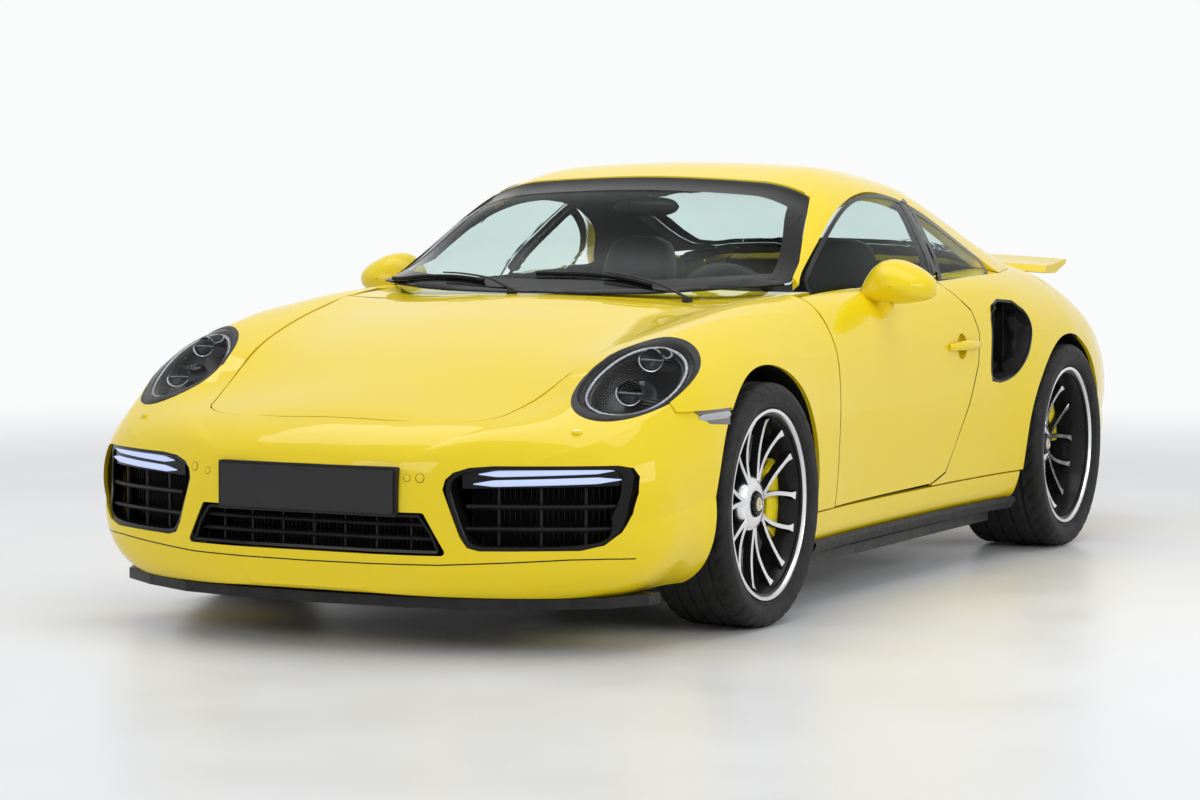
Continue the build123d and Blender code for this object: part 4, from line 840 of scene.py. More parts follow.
lampLook = {"centre": Vector((0.697, -1.7335, 0.700)), "long": Vector((0.20, 0.853, 0.481)).normalized(),
            "normal": Vector((0.216, -0.52, 0.827)).normalized(), "halfLong": 0.2235, "halfShort": 0.1295,
            "projectors": [(0.070, -0.016, 0.034), (-0.080, 0.014, 0.037)], "ring": 0.80,
            "lip": 1.08, "slats": 7, "aim": Vector((0.06, -0.985, 0.16)).normalized()}  # fmt: skip
lampShort = lampLook["long"].cross(lampLook["normal"]).normalized()
if lampShort.x < 0:
    lampShort = -lampShort
lampSkin = Surface("headlamp_lenses", "front_fender_left", "front_bumper")


def lampPlace(along, across, depth):
    # Point under the lamp's cover: along and across in metres from its centre.
    flat = lampLook["centre"] + lampLook["long"] * along + lampShort * across
    place, _ = lampSkin.hit(flat + lampLook["normal"] * 0.4, -lampLook["normal"])
    if place is None or (place - flat).length > 0.09:
        place = flat
    return place - lampLook["normal"] * depth


def lampRing(share, depth, stretch=1.0, count=96):
    # Ring round the lamp at a share of its size, stretched along its length.
    halfLong, halfShort = lampLook["halfLong"] * share * stretch, lampLook["halfShort"] * share
    return [lampPlace(halfLong * math.cos(a), halfShort * math.sin(a), depth) for a in turns(count)]


def softened(ring, times=3):
    # Closed ring with its small steps evened out.
    for _ in range(times):
        ring = [(ring[k - 1] + ring[k] * 2 + ring[(k + 1) % len(ring)]) / 4 for k in range(len(ring))]
    return ring


def makeLamp():
    # Left lamp: rubber gasket, dark bowl, bright parts, clear cover and glass of the projectors.
    gasket, bowl, bright, cover, glassBall = Shape(), Shape(), Shape(), Shape(), Shape()
    lip = lampLook["lip"]  # the rubber is wider at the lamp's two ends
    edge = [softened(lampRing(share, depth, stretch)) for share, depth, stretch in
            ((1.0, 0.012, lip), (0.999, -0.0008, lip), (0.985, -0.0022, lip), (0.950, -0.0018, 1.0),
             (0.935, 0.0005, 1.0), (0.93, 0.010, 1.0))]
    gasket.grid(edge, 0, closeColumns=True)
    cover.grid([softened(lampRing(share, -0.0009 - 0.002 * (1 - share)))
                for share in (0.965, 0.9, 0.75, 0.6, 0.45, 0.3, 0.15, 0.02)],
               0, closeColumns=True)  # fmt: skip
    # stepped dark surround, then the bowl
    bowl.grid([softened(lampRing(share, depth)) for share, depth in
               ((0.945, 0.006), (0.93, 0.010), (0.905, 0.0115), (0.90, 0.018), (0.875, 0.0195),
                (0.87, 0.026), (0.84, 0.0275), (0.835, 0.034), (0.72, 0.040), (0.70, 0.060),
                (0.60, 0.085), (0.40, 0.100), (0.2, 0.104), (0.02, 0.105))],
              0, closeColumns=True)  # fmt: skip
    middle = softened(lampRing(lampLook["ring"], 0.026))
    bright.tube(middle, 0.0052, 0, 10, closed=True, flat=0.7, up=lampLook["normal"])
    # slats in the outer lower corner
    for k in range(lampLook["slats"]):
        drop = 0.014 * k
        low, high = lampPlace(-0.028 - drop, 0.050, 0.052), lampPlace(-0.010 - drop, 0.092, 0.046)
        bowl.tube([low, high], 0.0025, 0, 6, up=lampLook["normal"])
    for along, across, radius in lampLook["projectors"]:
        front = lampPlace(along, across, 0.0) + Vector((0.0, 0.030, -0.012))
        aim = lampLook["aim"]
        side = aim.cross(Vector((0, 0, 1))).normalized()
        rise = side.cross(aim)

        def ring(size, back):
            return [front - aim * back + side * (size * math.cos(a)) + rise * (size * math.sin(a))
                    for a in turns(40)]  # fmt: skip

        bright.grid([ring(radius * 0.93, 0.006), ring(radius * 0.95, 0.0), ring(radius, -0.001),
                     ring(radius * 1.03, 0.003), ring(radius * 1.0, 0.008), ring(radius * 0.99, 0.030),
                     ring(radius * 1.12, 0.062), ring(radius * 1.15, 0.085)],
                    1, closeColumns=True)  # fmt: skip
        bowl.grid([ring(radius * 0.95, 0.004), ring(radius * 0.80, 0.016), ring(radius * 0.3, 0.020),
                   ring(0.001, 0.021)], 1, closeColumns=True)
        bright.tube([front - aim * 0.010 - side * radius * 0.8, front - aim * 0.012,
                     front - aim * 0.010 + side * radius * 0.8], 0.0022, 0, 6)
        glassBall.grid([ring(radius * 0.90, 0.005), ring(radius * 0.82, -0.005),
                        ring(radius * 0.62, -0.0125), ring(radius * 0.35, -0.017),
                        ring(0.0008, -0.0185)], 0, closeColumns=True)  # fmt: skip
        glassBall.grid([ring(radius * 0.90, 0.005), ring(radius * 0.3, 0.0055), ring(0.0008, 0.0055)], 0,
                       closeColumns=True)
    return gasket, bowl, bright, cover, glassBall


lampLooks = [
    ("gasket", [looks["black_plastic"]], "black_plastic"),
    ("bowl", [makePlain("lampDark", (0.009, 0.009, 0.010), 0.35, (400.0, 0.2), 0.02, coat=0.3),
              looks["glossBlack"]], "black_plastic"),
    ("bright", [makePlain("lightGuide", (0.27, 0.28, 0.30), 0.3, dust=0.02, metallic=0.6, coat=0.6),
                makeMachined("lampChrome", (0.80, 0.81, 0.83), 0.10)], "lamp_white"),
    ("cover", [looks["lampGlass"]], "glass"),
    ("projector", [makeGlass("projectorGlass", (0.86, 0.89, 0.92))], "glass"),
]  # fmt: skip
lampShapes = makeLamp()
for side, matrix in bothSides:
    for shape, (part, materials, slotName) in zip(lampShapes, lampLooks):
        made = shape.moved(matrix).piece(f"headlamp_{part}_{side}", materials, "body_shell", slotName,
                                         sharp=50)
        if part == "cover":
            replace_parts(made, "headlamp_lenses")
        if part == "bowl":
            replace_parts(made, "headlamp_units")
print("headlamps")


noseSkin = Surface("front_bumper")
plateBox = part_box("number_plate")


def roundedLoop(x0, x1, z0, z1, radius, count=6):
    # Rectangle with round corners, as (x, z) points.
    corners = ((x1 - radius, z1 - radius, 0), (x0 + radius, z1 - radius, 90),
               (x0 + radius, z0 + radius, 180), (x1 - radius, z0 + radius, 270))  # fmt: skip
    points = []
    for cx, cz, start in corners:
        for k in range(count + 1):
            angle = math.radians(start + 90 * k / count)
            points.append((cx + radius * math.cos(angle), cz + radius * math.sin(angle)))
    return points


plateEdge = {"inset": 0.004, "corner": 0.006, "sunk": 0.0014, "thick": 0.0016}


def makePlate():
    # Thin raised outline on the blank plate.
    shape, inset = Shape(), plateEdge["inset"]
    (x0, front, z0), (x1, _, z1) = plateBox
    loop = roundedLoop(x0 + inset, x1 - inset, z0 + inset, z1 - inset, plateEdge["corner"])
    path = [Vector((x, front + plateEdge["sunk"], z)) for x, z in loop]
    shape.tube(path, plateEdge["thick"], 0, 6, closed=True, up=(0, -1, 0))
    look = makePlain("plateEdge", (0.55, 0.56, 0.58), 0.35, dust=0.05, metallic=0.5)
    shape.piece("plate_outline", [look], "body_shell", "plate")


# x, z and radius of each sensor
sensorPlaces = [(0.323, 0.461, 0.0105), (0.289, 0.460, 0.0085), (-0.365, 0.464, 0.0105),
                (-0.316, 0.456, 0.0085)]


def makeSensors():
    # Painted buttons in dark rings.
    shape = Shape()
    for x, z, radius in sensorPlaces:
        centre, normal = noseSkin.nose(x, z)
        if centre is None:
            continue
        side = normal.orthogonal().normalized()
        rise = normal.cross(side)
        for size, lift, look in ((radius * 1.12, 0.0006, 1), (radius, 0.0009, 0)):
            rings = [[centre + normal * h + (side * math.cos(a) + rise * math.sin(a)) * size * s
                      for a in turns(32)]
                     for s, h in ((1.0, -0.001), (1.0, lift * 0.6), (0.93, lift), (0.4, lift),
                                  (0.02, lift))]  # fmt: skip
            shape.grid(rings, look, closeColumns=True)
    shape.piece("parking_sensors", [looks["paint"], looks["glossBlack"]], "body_shell", "paint")


nozzleLook = {"x": 0.662, "z": 0.574, "halfWide": 0.0135, "halfHigh": 0.0085, "jet": 0.0022}


def makeNozzles():
    # Painted washer caps with two bright jets.
    shape = Shape()
    for sign in (-1, 1):
        centre, normal = noseSkin.nose(sign * nozzleLook["x"], nozzleLook["z"])
        if centre is None:
            continue
        side = normal.cross(Vector((0, 0, 1))).normalized()
        rise = side.cross(normal)
        rings = []
        for s, h in ((1.0, -0.002), (1.0, 0.002), (0.8, 0.006), (0.35, 0.0075), (0.02, 0.0075)):
            wide, high = nozzleLook["halfWide"] * s, nozzleLook["halfHigh"] * s
            rings.append([centre + normal * h + side * (wide * math.cos(a)) + rise * (high * math.sin(a))
                          for a in turns(24)])  # fmt: skip
        shape.grid(rings, 0, closeColumns=True)
        for shift in (-0.004, 0.004):
            foot = centre + side * shift
            shape.tube([foot + normal * 0.007, foot + normal * 0.010], nozzleLook["jet"], 1, 10)
    shape.piece("washer_nozzles", [looks["paint"], looks["machined"]], "body_shell", "paint")


grilleLook = {"pitch": 0.0125, "wire": 0.0011, "outerBack": 0.085, "middleBack": 0.080,
              "outer": (0.405, 0.80, 0.290, 0.478), "middle": (-0.385, 0.385, 0.266, 0.368)}


def makeScreens():
    # Fine upright fins, and behind each intake a near-black wall that is painted shade in the intake.
    shape = Shape()

    def wall(x0, x1, z0, z1, back):
        # The wall follows the nose at a distance, and its fins stand just ahead of it.
        places = []
        for k in range(15):
            x = mixed(x0, x1, k / 14)
            place, _ = noseSkin.nose(x, 0.52)
            y = (place.y if place else -2.1) + back
            places.append((x, y))
        shape.grid([[(x, y, z) for z in (z0 - 0.02, z1 + 0.02)] for x, y in places], 0)
        steps = int(abs(x1 - x0) / grilleLook["pitch"])
        for k in range(steps):
            x = mixed(x0, x1, (k + 0.5) / steps)
            share = (x - x0) / (x1 - x0) * 14
            j = min(13, int(share))
            y = mixed(places[j][1], places[j + 1][1], share - j) - 0.004
            shape.tube([(x, y, z0 - 0.01), (x, y, z1 + 0.01)], grilleLook["wire"], 1, 4)

    x0, x1, z0, z1 = grilleLook["outer"]
    wall(x0, x1, z0, z1, grilleLook["outerBack"])
    wall(-x0, -x1, z0, z1, grilleLook["outerBack"])
    wall(*grilleLook["middle"], grilleLook["middleBack"])
    # Near-black, barely shiny and free of dust: painted shade in the depth of the intakes.
    dark = makePlain("screenPaintedShade", (0.003, 0.003, 0.003), 0.7, dust=0.0, shine=0.05)
    shape.piece("intake_screens", [dark, looks["glossBlack"]], "body_shell", "black_plastic")


makePlate()
makeSensors()
makeNozzles()
makeScreens()
print("nose details")


screenSkin, rearGlassSkin = Surface("windscreen"), Surface("rear_glass")
sideGlassSkin, quarterGlassSkin = Surface("door_glass_left"), Surface("quarter_glass")
# Distances inwards from the edge of each glass, from the first row of the band to the last.
borderRows = {"screen": (0.001, 0.006, 0.018, 0.030, 0.040), "rear": (0.001, 0.010, 0.025, 0.038),
              "door": (0.0008, 0.004, 0.008, 0.012), "quarter": (0.0008, 0.006, 0.014, 0.024)}  # fmt: skip


def outlineOf(name, axisA, axisB, leftOnly=False):
    # Convex outline of a solid seen along the third axis.
    points = [vertex.co for vertex in nodes[name].data.vertices if not leftOnly or vertex.co.x > 0]
    flat = sorted({(round(p[axisA], 4), round(p[axisB], 4)) for p in points})

    def half(run):
        chain = []
        for p in run:
            while len(chain) > 1:
                (ax, ay), (bx, by) = chain[-2:]
                if (bx - ax) * (p[1] - ay) > (by - ay) * (p[0] - ax):
                    break
                chain.pop()
            chain.append(p)
        return chain[:-1]

    return half(flat) + half(flat[::-1])


def shrunk(outline, amount):
    # Closed flat outline moved inwards, by its own normals.
    area = sum(a[0] * b[1] - b[0] * a[1] for a, b in zip(outline, outline[1:] + outline[:1]))
    sign, result = (1 if area > 0 else -1), []
    for k, p in enumerate(outline):
        a, b = Vector(outline[k - 1]), Vector(outline[(k + 1) % len(outline)])
        along = (b - a).normalized()
        result.append((p[0] - along.y * amount * sign, p[1] + along.x * amount * sign))
    return result


def nearestKnown(row, k):
    # The place in a ring that is next to k and isn't missing.
    for away in range(1, len(row)):
        for sign in (1, -1):
            place = row[(k + away * sign) % len(row)]
            if place is not None:
                return place
    return None


def borderBand(outline, probe, widths, lift, count=220):
    # Flat band that lies on the skin from the outline inwards.
    shape = Shape()
    ring = [(p.x, p.y) for p in evenly([Vector((*p, 0)) for p in outline], count, True)]
    rows = []
    for amount in widths:
        row = []
        for p in shrunk(ring, amount):
            place, normal = probe(*p)
            row.append(None if place is None else place + normal * lift)
        rows.append(row)
    for row in rows:
        for k in range(len(row)):
            if row[k] is None:
                row[k] = nearestKnown(row, k)
    shape.grid([softened(row, 2) for row in rows], 0, closeColumns=True)
    return shape


def bandOnGlass(name, outline, probe, widths, body, mirrored=True, lift=0.0006):
    shape = borderBand(outline, probe, widths, lift)
    if mirrored:
        for side, matrix in bothSides:
            piece = shape.moved(matrix)
            piece.piece(f"{name}_{side}", [looks["glossBlack"]], body.format(side=side), "black_plastic",
                        sharp=60)
    else:
        shape.piece(name, [looks["glossBlack"]], body, "black_plastic", sharp=60)


def makeGlassBorders():
    # Black border round each pane, on the body that the pane rides on.
    screen = outlineOf("windscreen", 0, 2)
    bandOnGlass("windscreen_border", screen, screenSkin.nose, borderRows["screen"], "body_shell",
                mirrored=False)
    rear = outlineOf("rear_glass", 0, 1)
    bandOnGlass("rear_glass_border", rear, rearGlassSkin.top, borderRows["rear"], "body_shell",
                mirrored=False)
    side = outlineOf("door_glass_left", 1, 2)
    bandOnGlass("side_glass_border", side, sideGlassSkin.side, borderRows["door"], "door_{side}",
                lift=0.0008)
    quarter = outlineOf("quarter_glass", 1, 2, leftOnly=True)
    bandOnGlass("quarter_glass_border", quarter, quarterGlassSkin.side, borderRows["quarter"], "body_shell",
                lift=0.0008)


makeGlassBorders()


wiperLook = {"arms": ((0.47, -0.06), (-0.10, -0.56)), "behindAxle": 0.335, "bow": 0.085, "arm": 0.0075,
             "blade": 0.0045}  # fmt: skip


def makeWipers():
    # Two arms that rest at the foot of the windscreen, with rubber blades.
    shape, footY = Shape(), frontAxleY + wiperLook["behindAxle"]
    for pivotX, tipX in wiperLook["arms"]:
        pivot, _ = Surface("cowl").top(pivotX, footY)
        if pivot is None:
            continue
        places = []
        for k in range(13):
            x = mixed(pivotX, tipX, k / 12)
            y = footY + wiperLook["bow"] * math.sin(math.pi * min(1, k / 9) / 2)
            for shift in (0.0, 0.02, 0.04, 0.06):
                place, normal = screenSkin.top(x, y + shift)
                if place is not None:
                    break
            if place is None:
                place, normal = pivot, Vector((0, -0.3, 0.95))
            places.append((place, normal))
        arm = [pivot + Vector((0, 0, 0.012))] + [p + n * 0.020 for p, n in places[2:8]]
        shape.tube(evenly(refined(arm, 2), 24), [wiperLook["arm"] - 0.0035 * k / 23 for k in range(24)], 0,
                   8, flat=0.55)
        run = [p + n * 0.007 for p, n in places[3:]]
        if len(run) > 3:
            shape.tube(evenly(refined(run, 1), 24), wiperLook["blade"], 1, 6, flat=1.5)
        shape.upright(pivot, 0.016, 0.014)
    shape.piece("wipers", [looks["black_plastic"], looks["glossBlack"]], "body_shell", "black_plastic")


makeWipers()
print("glass borders and wipers")


handleLook = {"middle": (0.302, 0.712), "reach": 0.124, "bar": (0.0105, 0.0055), "cup": 0.0396,
              "depth": 0.026, "cupShift": 0.0105}  # fmt: skip


def makeHandle():
    # Rounded bar over a painted cup.
    (y, z), look = handleLook["middle"], handleLook
    shape, skin = Shape(), Surface("door_left")
    ends = [skin.side(y + sign * look["reach"], z)[0] for sign in (-1, 1)]
    path = []
    for k in range(25):
        t = k / 24
        x = mixed(ends[0].x, ends[1].x, t) + 0.003 + 0.015 * math.sin(math.pi * t) ** 0.55
        path.append(Vector((x, y - look["reach"] + 2 * look["reach"] * t,
                            z + 0.004 * math.sin(math.pi * t))))
    size, swell = look["bar"]
    shape.tube(path, [size + swell * math.sin(math.pi * k / 24) for k in range(25)], 0, 16, flat=0.60,
               up=(1, 0, 0))
    rings, cupY = [], y - look["cupShift"]
    for share, deep in ((1.0, -0.0006), (0.995, 0.010), (0.90, 0.020), (0.6, look["depth"]),
                        (0.02, look["depth"] + 0.001)):
        ring = []
        for a in turns(48):
            acrossY, acrossZ = look["cup"] * math.cos(a), look["cup"] * math.sin(a)
            wider = look["cup"] + 0.003
            rimPlace, _ = skin.side(cupY + wider * math.cos(a), z + wider * math.sin(a))
            x = rimPlace.x if rimPlace and rimPlace.x > 0.84 else ends[0].x
            ring.append(Vector((x - deep, cupY + acrossY * share, z + acrossZ * share)))
        rings.append(softened(ring, 2))
    shape.grid(rings, 0, closeColumns=True)
    return shape


sillLook = {"foot": 0.158, "proud": 0.006, "fromAxle": 0.397}


def makeSillTrim():
    # Black skirt along the foot of each sill, from arch to arch.
    shape, rows = Shape(), []
    sillSkin = Surface("side_sills")
    for k in range(41):
        y = mixed(frontAxleY + sillLook["fromAxle"], rearAxleY - sillLook["fromAxle"], k / 40)
        place, _ = sillSkin.side(y, 0.21)
        x, proud, foot = place.x if place else 0.85, sillLook["proud"], sillLook["foot"]
        rows.append([(x + 0.001, y, 0.200), (x + proud + 0.002, y, 0.197), (x + proud + 0.006, y, 0.186),
                     (x - 0.004, y, foot + 0.003), (x - 0.030, y, foot), (x - 0.060, y, 0.170)])
    shape.grid(rows, 0)
    for side, matrix in bothSides:
        shape.moved(matrix).piece(f"sill_trim_{side}", [looks["black_plastic"]], "body_shell",
                                  "black_plastic", sharp=30)


makeSillTrim()
handle = makeHandle()
for side, matrix in bothSides:
    handle.moved(matrix).piece(f"door_handle_{side}", [looks["paint"]], f"door_{side}", "paint", sharp=60)
setMaterial(nodes["side_sills"], looks["paint"])


# Faces of the shell that look into the cabin are trimmed, not painted.
liningLook = makePlain("cabinLining", (0.035, 0.034, 0.034), 0.85, (1500.0, 0.3), 0.02)


def lineInside(name, centre, limits, material):
    # Gives a solid's faces that look towards the centre, within the limits, the second material.
    thing = nodes[name]
    thing.data.materials.append(material)
    index = len(thing.data.materials) - 1
    (x0, y0, z0), (x1, y1, z1) = limits
    for polygon in thing.data.polygons:
        place = polygon.center
        within = x0 < place.x < x1 and y0 < place.y < y1 and z0 < place.z < z1
        if within and polygon.normal.dot(centre - place) > 0.02:
            polygon.material_index = index


# Solids, the point inside that lined faces look at, and the corners of the space that holds those faces.
linedParts = [
    (("roof_panel", "roof_rails"), (0.0, 0.25, 0.95), ((-0.9, -0.8, 0.85), (0.9, 1.3, 1.4))),
    (("door_left", "door_right"), (0.0, 0.0, 0.55), ((-1, -0.8, 0.2), (1, 0.5, 0.95))),
    (("rear_quarter_left", "rear_quarter_right", "cowl"), (0.0, 0.3, 0.6),
     ((-1, -0.9, 0.2), (1, 1.3, 0.95))),
]
for names, centre, limits in linedParts:
    for name in names:
        lineInside(name, Vector(centre), limits, liningLook)
print("cabin lining")


seatLook = {"x": 0.360, "stations": 44, "around": 40, "channelDepth": 0.0045, "channels": 9, "seam": 0.52,
            "piping": 0.0016}  # fmt: skip


def tableAt(table, t):
    # Value from (place, value...) rows at t, smoothly joined.
    for low, high in zip(table, table[1:]):
        if t <= high[0]:
            share = eased((t - low[0]) / (high[0] - low[0]))
            return [mixed(a, b, share) for a, b in zip(low[1:], high[1:])]
    return list(table[-1][1:])


# place along the back, then front y, z, half width, thickness, bolster
backTable = [(0.0, 0.262, 0.300, 0.205, 0.115, 0.030), (0.10, 0.285, 0.360, 0.232, 0.120, 0.050),
             (0.30, 0.330, 0.510, 0.250, 0.115, 0.062), (0.55, 0.392, 0.700, 0.240, 0.105, 0.055),
             (0.72, 0.432, 0.830, 0.190, 0.095, 0.028), (0.80, 0.452, 0.888, 0.135, 0.090, 0.010),
             (0.90, 0.462, 0.965, 0.122, 0.098, 0.008), (0.97, 0.474, 1.020, 0.100, 0.088, 0.004),
             (1.0, 0.492, 1.040, 0.055, 0.050, 0.0)]
# place along the cushion, then y, top z, half width, thickness, bolster
cushionTable = [(0.0, -0.222, 0.285, 0.190, 0.050, 0.004), (0.08, -0.214, 0.318, 0.215, 0.095, 0.012),
                (0.25, -0.130, 0.322, 0.232, 0.105, 0.030), (0.6, 0.060, 0.300, 0.238, 0.095, 0.042),
                (0.9, 0.225, 0.288, 0.225, 0.085, 0.040), (1.0, 0.262, 0.285, 0.200, 0.065, 0.020)]


def padRings(table, upright):
    # Cross-sections of the back or the cushion, with sewn channels between raised bolsters.
    rings = []
    for k in range(seatLook["stations"] + 1):
        t = k / seatLook["stations"]
        y, z, wide, thick, bolster = tableAt(table, t)
        phase = (t * seatLook["channels"]) % 1.0
        sewn = 0.08 < t < 0.72 or not upright and t < 0.9
        groove = seatLook["channelDepth"] * max(0.0, 1 - min(phase, 1 - phase) * 9) if sewn else 0.0
        ring = []
        for angle in turns(seatLook["around"]):
            c, s = math.cos(angle), math.sin(angle)
            x, d = wide * squared(c, 0.62), thick / 2 * squared(s, 0.55)
            edge = abs(x) / wide
            rise = max(0.0, min(1.0, (edge - 0.48) / 0.34))
            if s < 0:
                d -= bolster * eased(rise) * (abs(s) ** 0.2)
                d += groove * (1 - rise)
                d += 0.005 * max(0.0, 1 - abs(edge - seatLook["seam"]) / 0.05)
            ring.append((x, y + thick / 2 + d, z) if upright else (x, y, z - thick / 2 - d))
        rings.append([Vector(p) for p in ring])
    return rings


def makeSeat():
    # Back and cushion as padded forms, with piping along the bolsters' seams.
    shape = Shape()
    back, cushion = padRings(backTable, True), padRings(cushionTable, False)
    shape.loft(back, 0)
    shape.loft(cushion, 0)
    for rings, upright in ((back, True), (cushion, False)):
        for sign in (-1, 1):
            run = []
            for ring in rings[4:34]:
                goal = sign * seatLook["seam"] * max(abs(p.x) for p in ring)
                middleY = sum(p.y for p in ring) / len(ring)
                front = [p for p in ring if (p.y < middleY) == upright or not upright and p.z > ring[0].z]
                near = min(front, key=lambda p: abs(p.x - goal))
                proud = Vector((0, -0.001, 0)) if upright else Vector((0, 0, 0.001))
                run.append(Vector((goal, near.y, near.z)) + proud)
            shape.tube(evenly(run, 40), seatLook["piping"], 1, 5)
    return shape


seatThread = makePlain("seatPiping", (0.05, 0.05, 0.052), 0.6, (900.0, 0.2), 0.02)
seatShape = makeSeat()
for side, sign in (("left", 1), ("right", -1)):
    place = Matrix.Translation((sign * seatLook["x"], 0, 0))
    made = seatShape.moved(place).piece(f"front_seat_{side}", [looks["leather"], seatThread], "body_shell",
                                        "leather", sharp=60)  # fmt: skip
    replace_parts(made, "front_seats")


railLook = {"half": 0.2, "ends": (-0.16, 0.30), "z": 0.190, "radius": 0.013, "feet": (-0.13, 0.22),
            "footZ": (0.186, 0.250), "footRadius": 0.011}  # fmt: skip


def makeSeatRails():
    # Two slides on four short feet under each front seat.
    look, shape = railLook, Shape()
    for middle in (-seatLook["x"], seatLook["x"]):
        for x in (middle - look["half"], middle + look["half"]):
            shape.tube([(x, y, look["z"]) for y in look["ends"]], look["radius"], 0, 8)
            for y in look["feet"]:
                shape.tube([(x, y, z) for z in look["footZ"]], look["footRadius"], 0, 8)
    return shape.piece("seat_rails", [looks["steel"]], "body_shell", "steel")


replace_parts(makeSeatRails(), "front_seats")


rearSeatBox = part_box("rear_seats")
rearSeatLook = {"x": 0.28, "backWide": 0.225, "backThick": 0.085, "cushionWide": 0.228,
                "cushionThick": 0.10}  # fmt: skip


def softRing(wide, thick):
    # Rounded section: across, out, share of the way up the bolster, and sine of the angle.
    places = []
    for a in turns(32):
        c, s = math.cos(a), math.sin(a)
        x, d = wide * squared(c, 0.6), thick / 2 * squared(s, 0.6)
        places.append((x, d, max(0.0, min(1.0, (abs(x) / wide - 0.5) / 0.35)), s))
    return places


def makeRearSeat():
    # Small shell seat: a cushion and a short back between the wheel houses.
    (_, y0, z0), (_, y1, z1) = rearSeatBox
    look, shape, back, cushion = rearSeatLook, Shape(), [], []
    for k in range(29):
        t = k / 28
        swell = min(1.0, 0.35 + 4 * t, 0.35 + 4 * (1 - t))
        y, z = mixed(y1 - 0.150, y1 - 0.062, t), mixed(z0 + 0.13, z1 - 0.004, t)
        groove = 0.004 * max(0.0, 1 - min((t * 6) % 1, 1 - (t * 6) % 1) * 9)
        section = softRing(look["backWide"] * (0.93 + 0.07 * swell), look["backThick"] * swell)
        back.append([Vector((x, y + d - (0.022 * rise - groove * (1 - rise) if s < 0 else 0), z))
                     for x, d, rise, s in section])  # fmt: skip
    shape.loft(back, 0)
    for k in range(21):
        t = k / 20
        swell = min(1.0, 0.45 + 4 * t, 0.45 + 4 * (1 - t))
        thick = look["cushionThick"] * swell
        y, z = mixed(y0 + 0.012, y1 - 0.150, t), mixed(z0 + 0.150, z0 + 0.115, t)
        section = softRing(look["cushionWide"] * (0.93 + 0.07 * swell), thick)
        cushion.append([Vector((x, y, z - thick / 2 + d + (0.020 * rise if s > 0 else 0)))
                        for x, d, rise, s in section])  # fmt: skip
    shape.loft(cushion, 0)
    return shape


rearSeatShape = makeRearSeat()
for side, sign in (("left", 1), ("right", -1)):
    place = Matrix.Translation((sign * rearSeatLook["x"], 0, 0))
    made = rearSeatShape.moved(place).piece(f"rear_seat_{side}", [looks["leather"]], "body_shell",
                                            "leather", sharp=60)  # fmt: skip
    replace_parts(made, "rear_seats")
print("seats")


steerLook = {"centre": Vector((0.360, -0.3535, 0.800)), "tilt": 24.0, "radius": 0.178, "grip": 0.0158,
             "thumbSwell": 0.16, "thumbSpread": 26, "thumbMost": 1.12, "pad": (0.062, 0.052),
             "spokes": (-6, 186, 270)}  # fmt: skip


def makeSteeringWheel():
    # Leather rim with thumb rests, a round pad and three spokes with bright inlays.
    look, shape = steerLook, Shape()
    rim, thumbs = [], []
    for k, angle in enumerate(turns(96)):
        rim.append(Vector((look["radius"] * math.cos(angle), 0, look["radius"] * math.sin(angle))))
        away = k / 96 * 360 - (0 if k < 48 else 180)  # degrees past the thumb rest
        swell = 1 + look["thumbSwell"] * max(0.0, 1 - abs(away) / look["thumbSpread"])
        thumbs.append(min(look["grip"] * swell, look["grip"] * look["thumbMost"]))
    shape.tube(rim, thumbs, 0, 16, closed=True, up=(0, 1, 0))
    pad = []
    for share, y in ((1.0, -0.032), (1.0, -0.006), (0.97, 0.004), (0.85, 0.012), (0.6, 0.017), (0.3, 0.019),
                     (0.02, 0.0195)):
        wide, high = look["pad"][0] * share, look["pad"][1] * share
        pad.append([Vector((wide * squared(math.cos(a), 0.8), y, high * squared(math.sin(a), 0.8) - 0.004))
                    for a in turns(48)])  # fmt: skip
    shape.grid(pad, 0, closeColumns=True)
    for angle in look["spokes"]:
        a = math.radians(angle)
        out, across = Vector((math.cos(a), 0, math.sin(a))), Vector((-math.sin(a), 0, math.cos(a)))
        rings = []
        for k in range(13):
            t = k / 12
            r = mixed(0.048, look["radius"] - 0.006, t)
            wide = mixed(0.030, 0.014, math.sin(math.pi * min(1, t * 1.2) / 2))
            place = out * r + Vector((0, -0.008 + 0.004 * t, 0))
            rings.append([place + across * (wide * math.cos(b)) + Vector((0, 0.0065 * math.sin(b), 0))
                          for b in turns(14)])  # fmt: skip
        shape.loft(rings, 0)
        inlay = [out * 0.075 + Vector((0, -0.001, 0)), out * 0.150 + Vector((0, 0.001, 0))]
        shape.tube(inlay, [0.006, 0.0035], 1, 8, flat=0.5, up=(0, 1, 0))
    shape.tube([Vector((0, -0.030, 0)), Vector((0, -0.20, 0))], [0.040, 0.0225], 2, 24)
    place = Matrix.Translation(look["centre"]) @ Matrix.Rotation(math.radians(look["tilt"]), 4, "X")
    return shape.moved(place)


made = makeSteeringWheel().piece("steering_wheel_trim",
                                 [looks["leather"], looks["machined"], looks["black_plastic"]],
                                 "steering_wheel", "leather", sharp=50)
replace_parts(made, "steering_wheel")


# The hood by half width, half height and height above the ground, and each dial by its shift and radius.
binnacleLook = {"hood": (0.205, 0.062, 0.838), "dialPlace": (-0.520, 0.842), "ventPlace": (-0.455, 0.80),
                "dials": ((0, 0.052), (-0.088, 0.043), (0.088, 0.043), (-0.155, 0.032), (0.155, 0.032))}


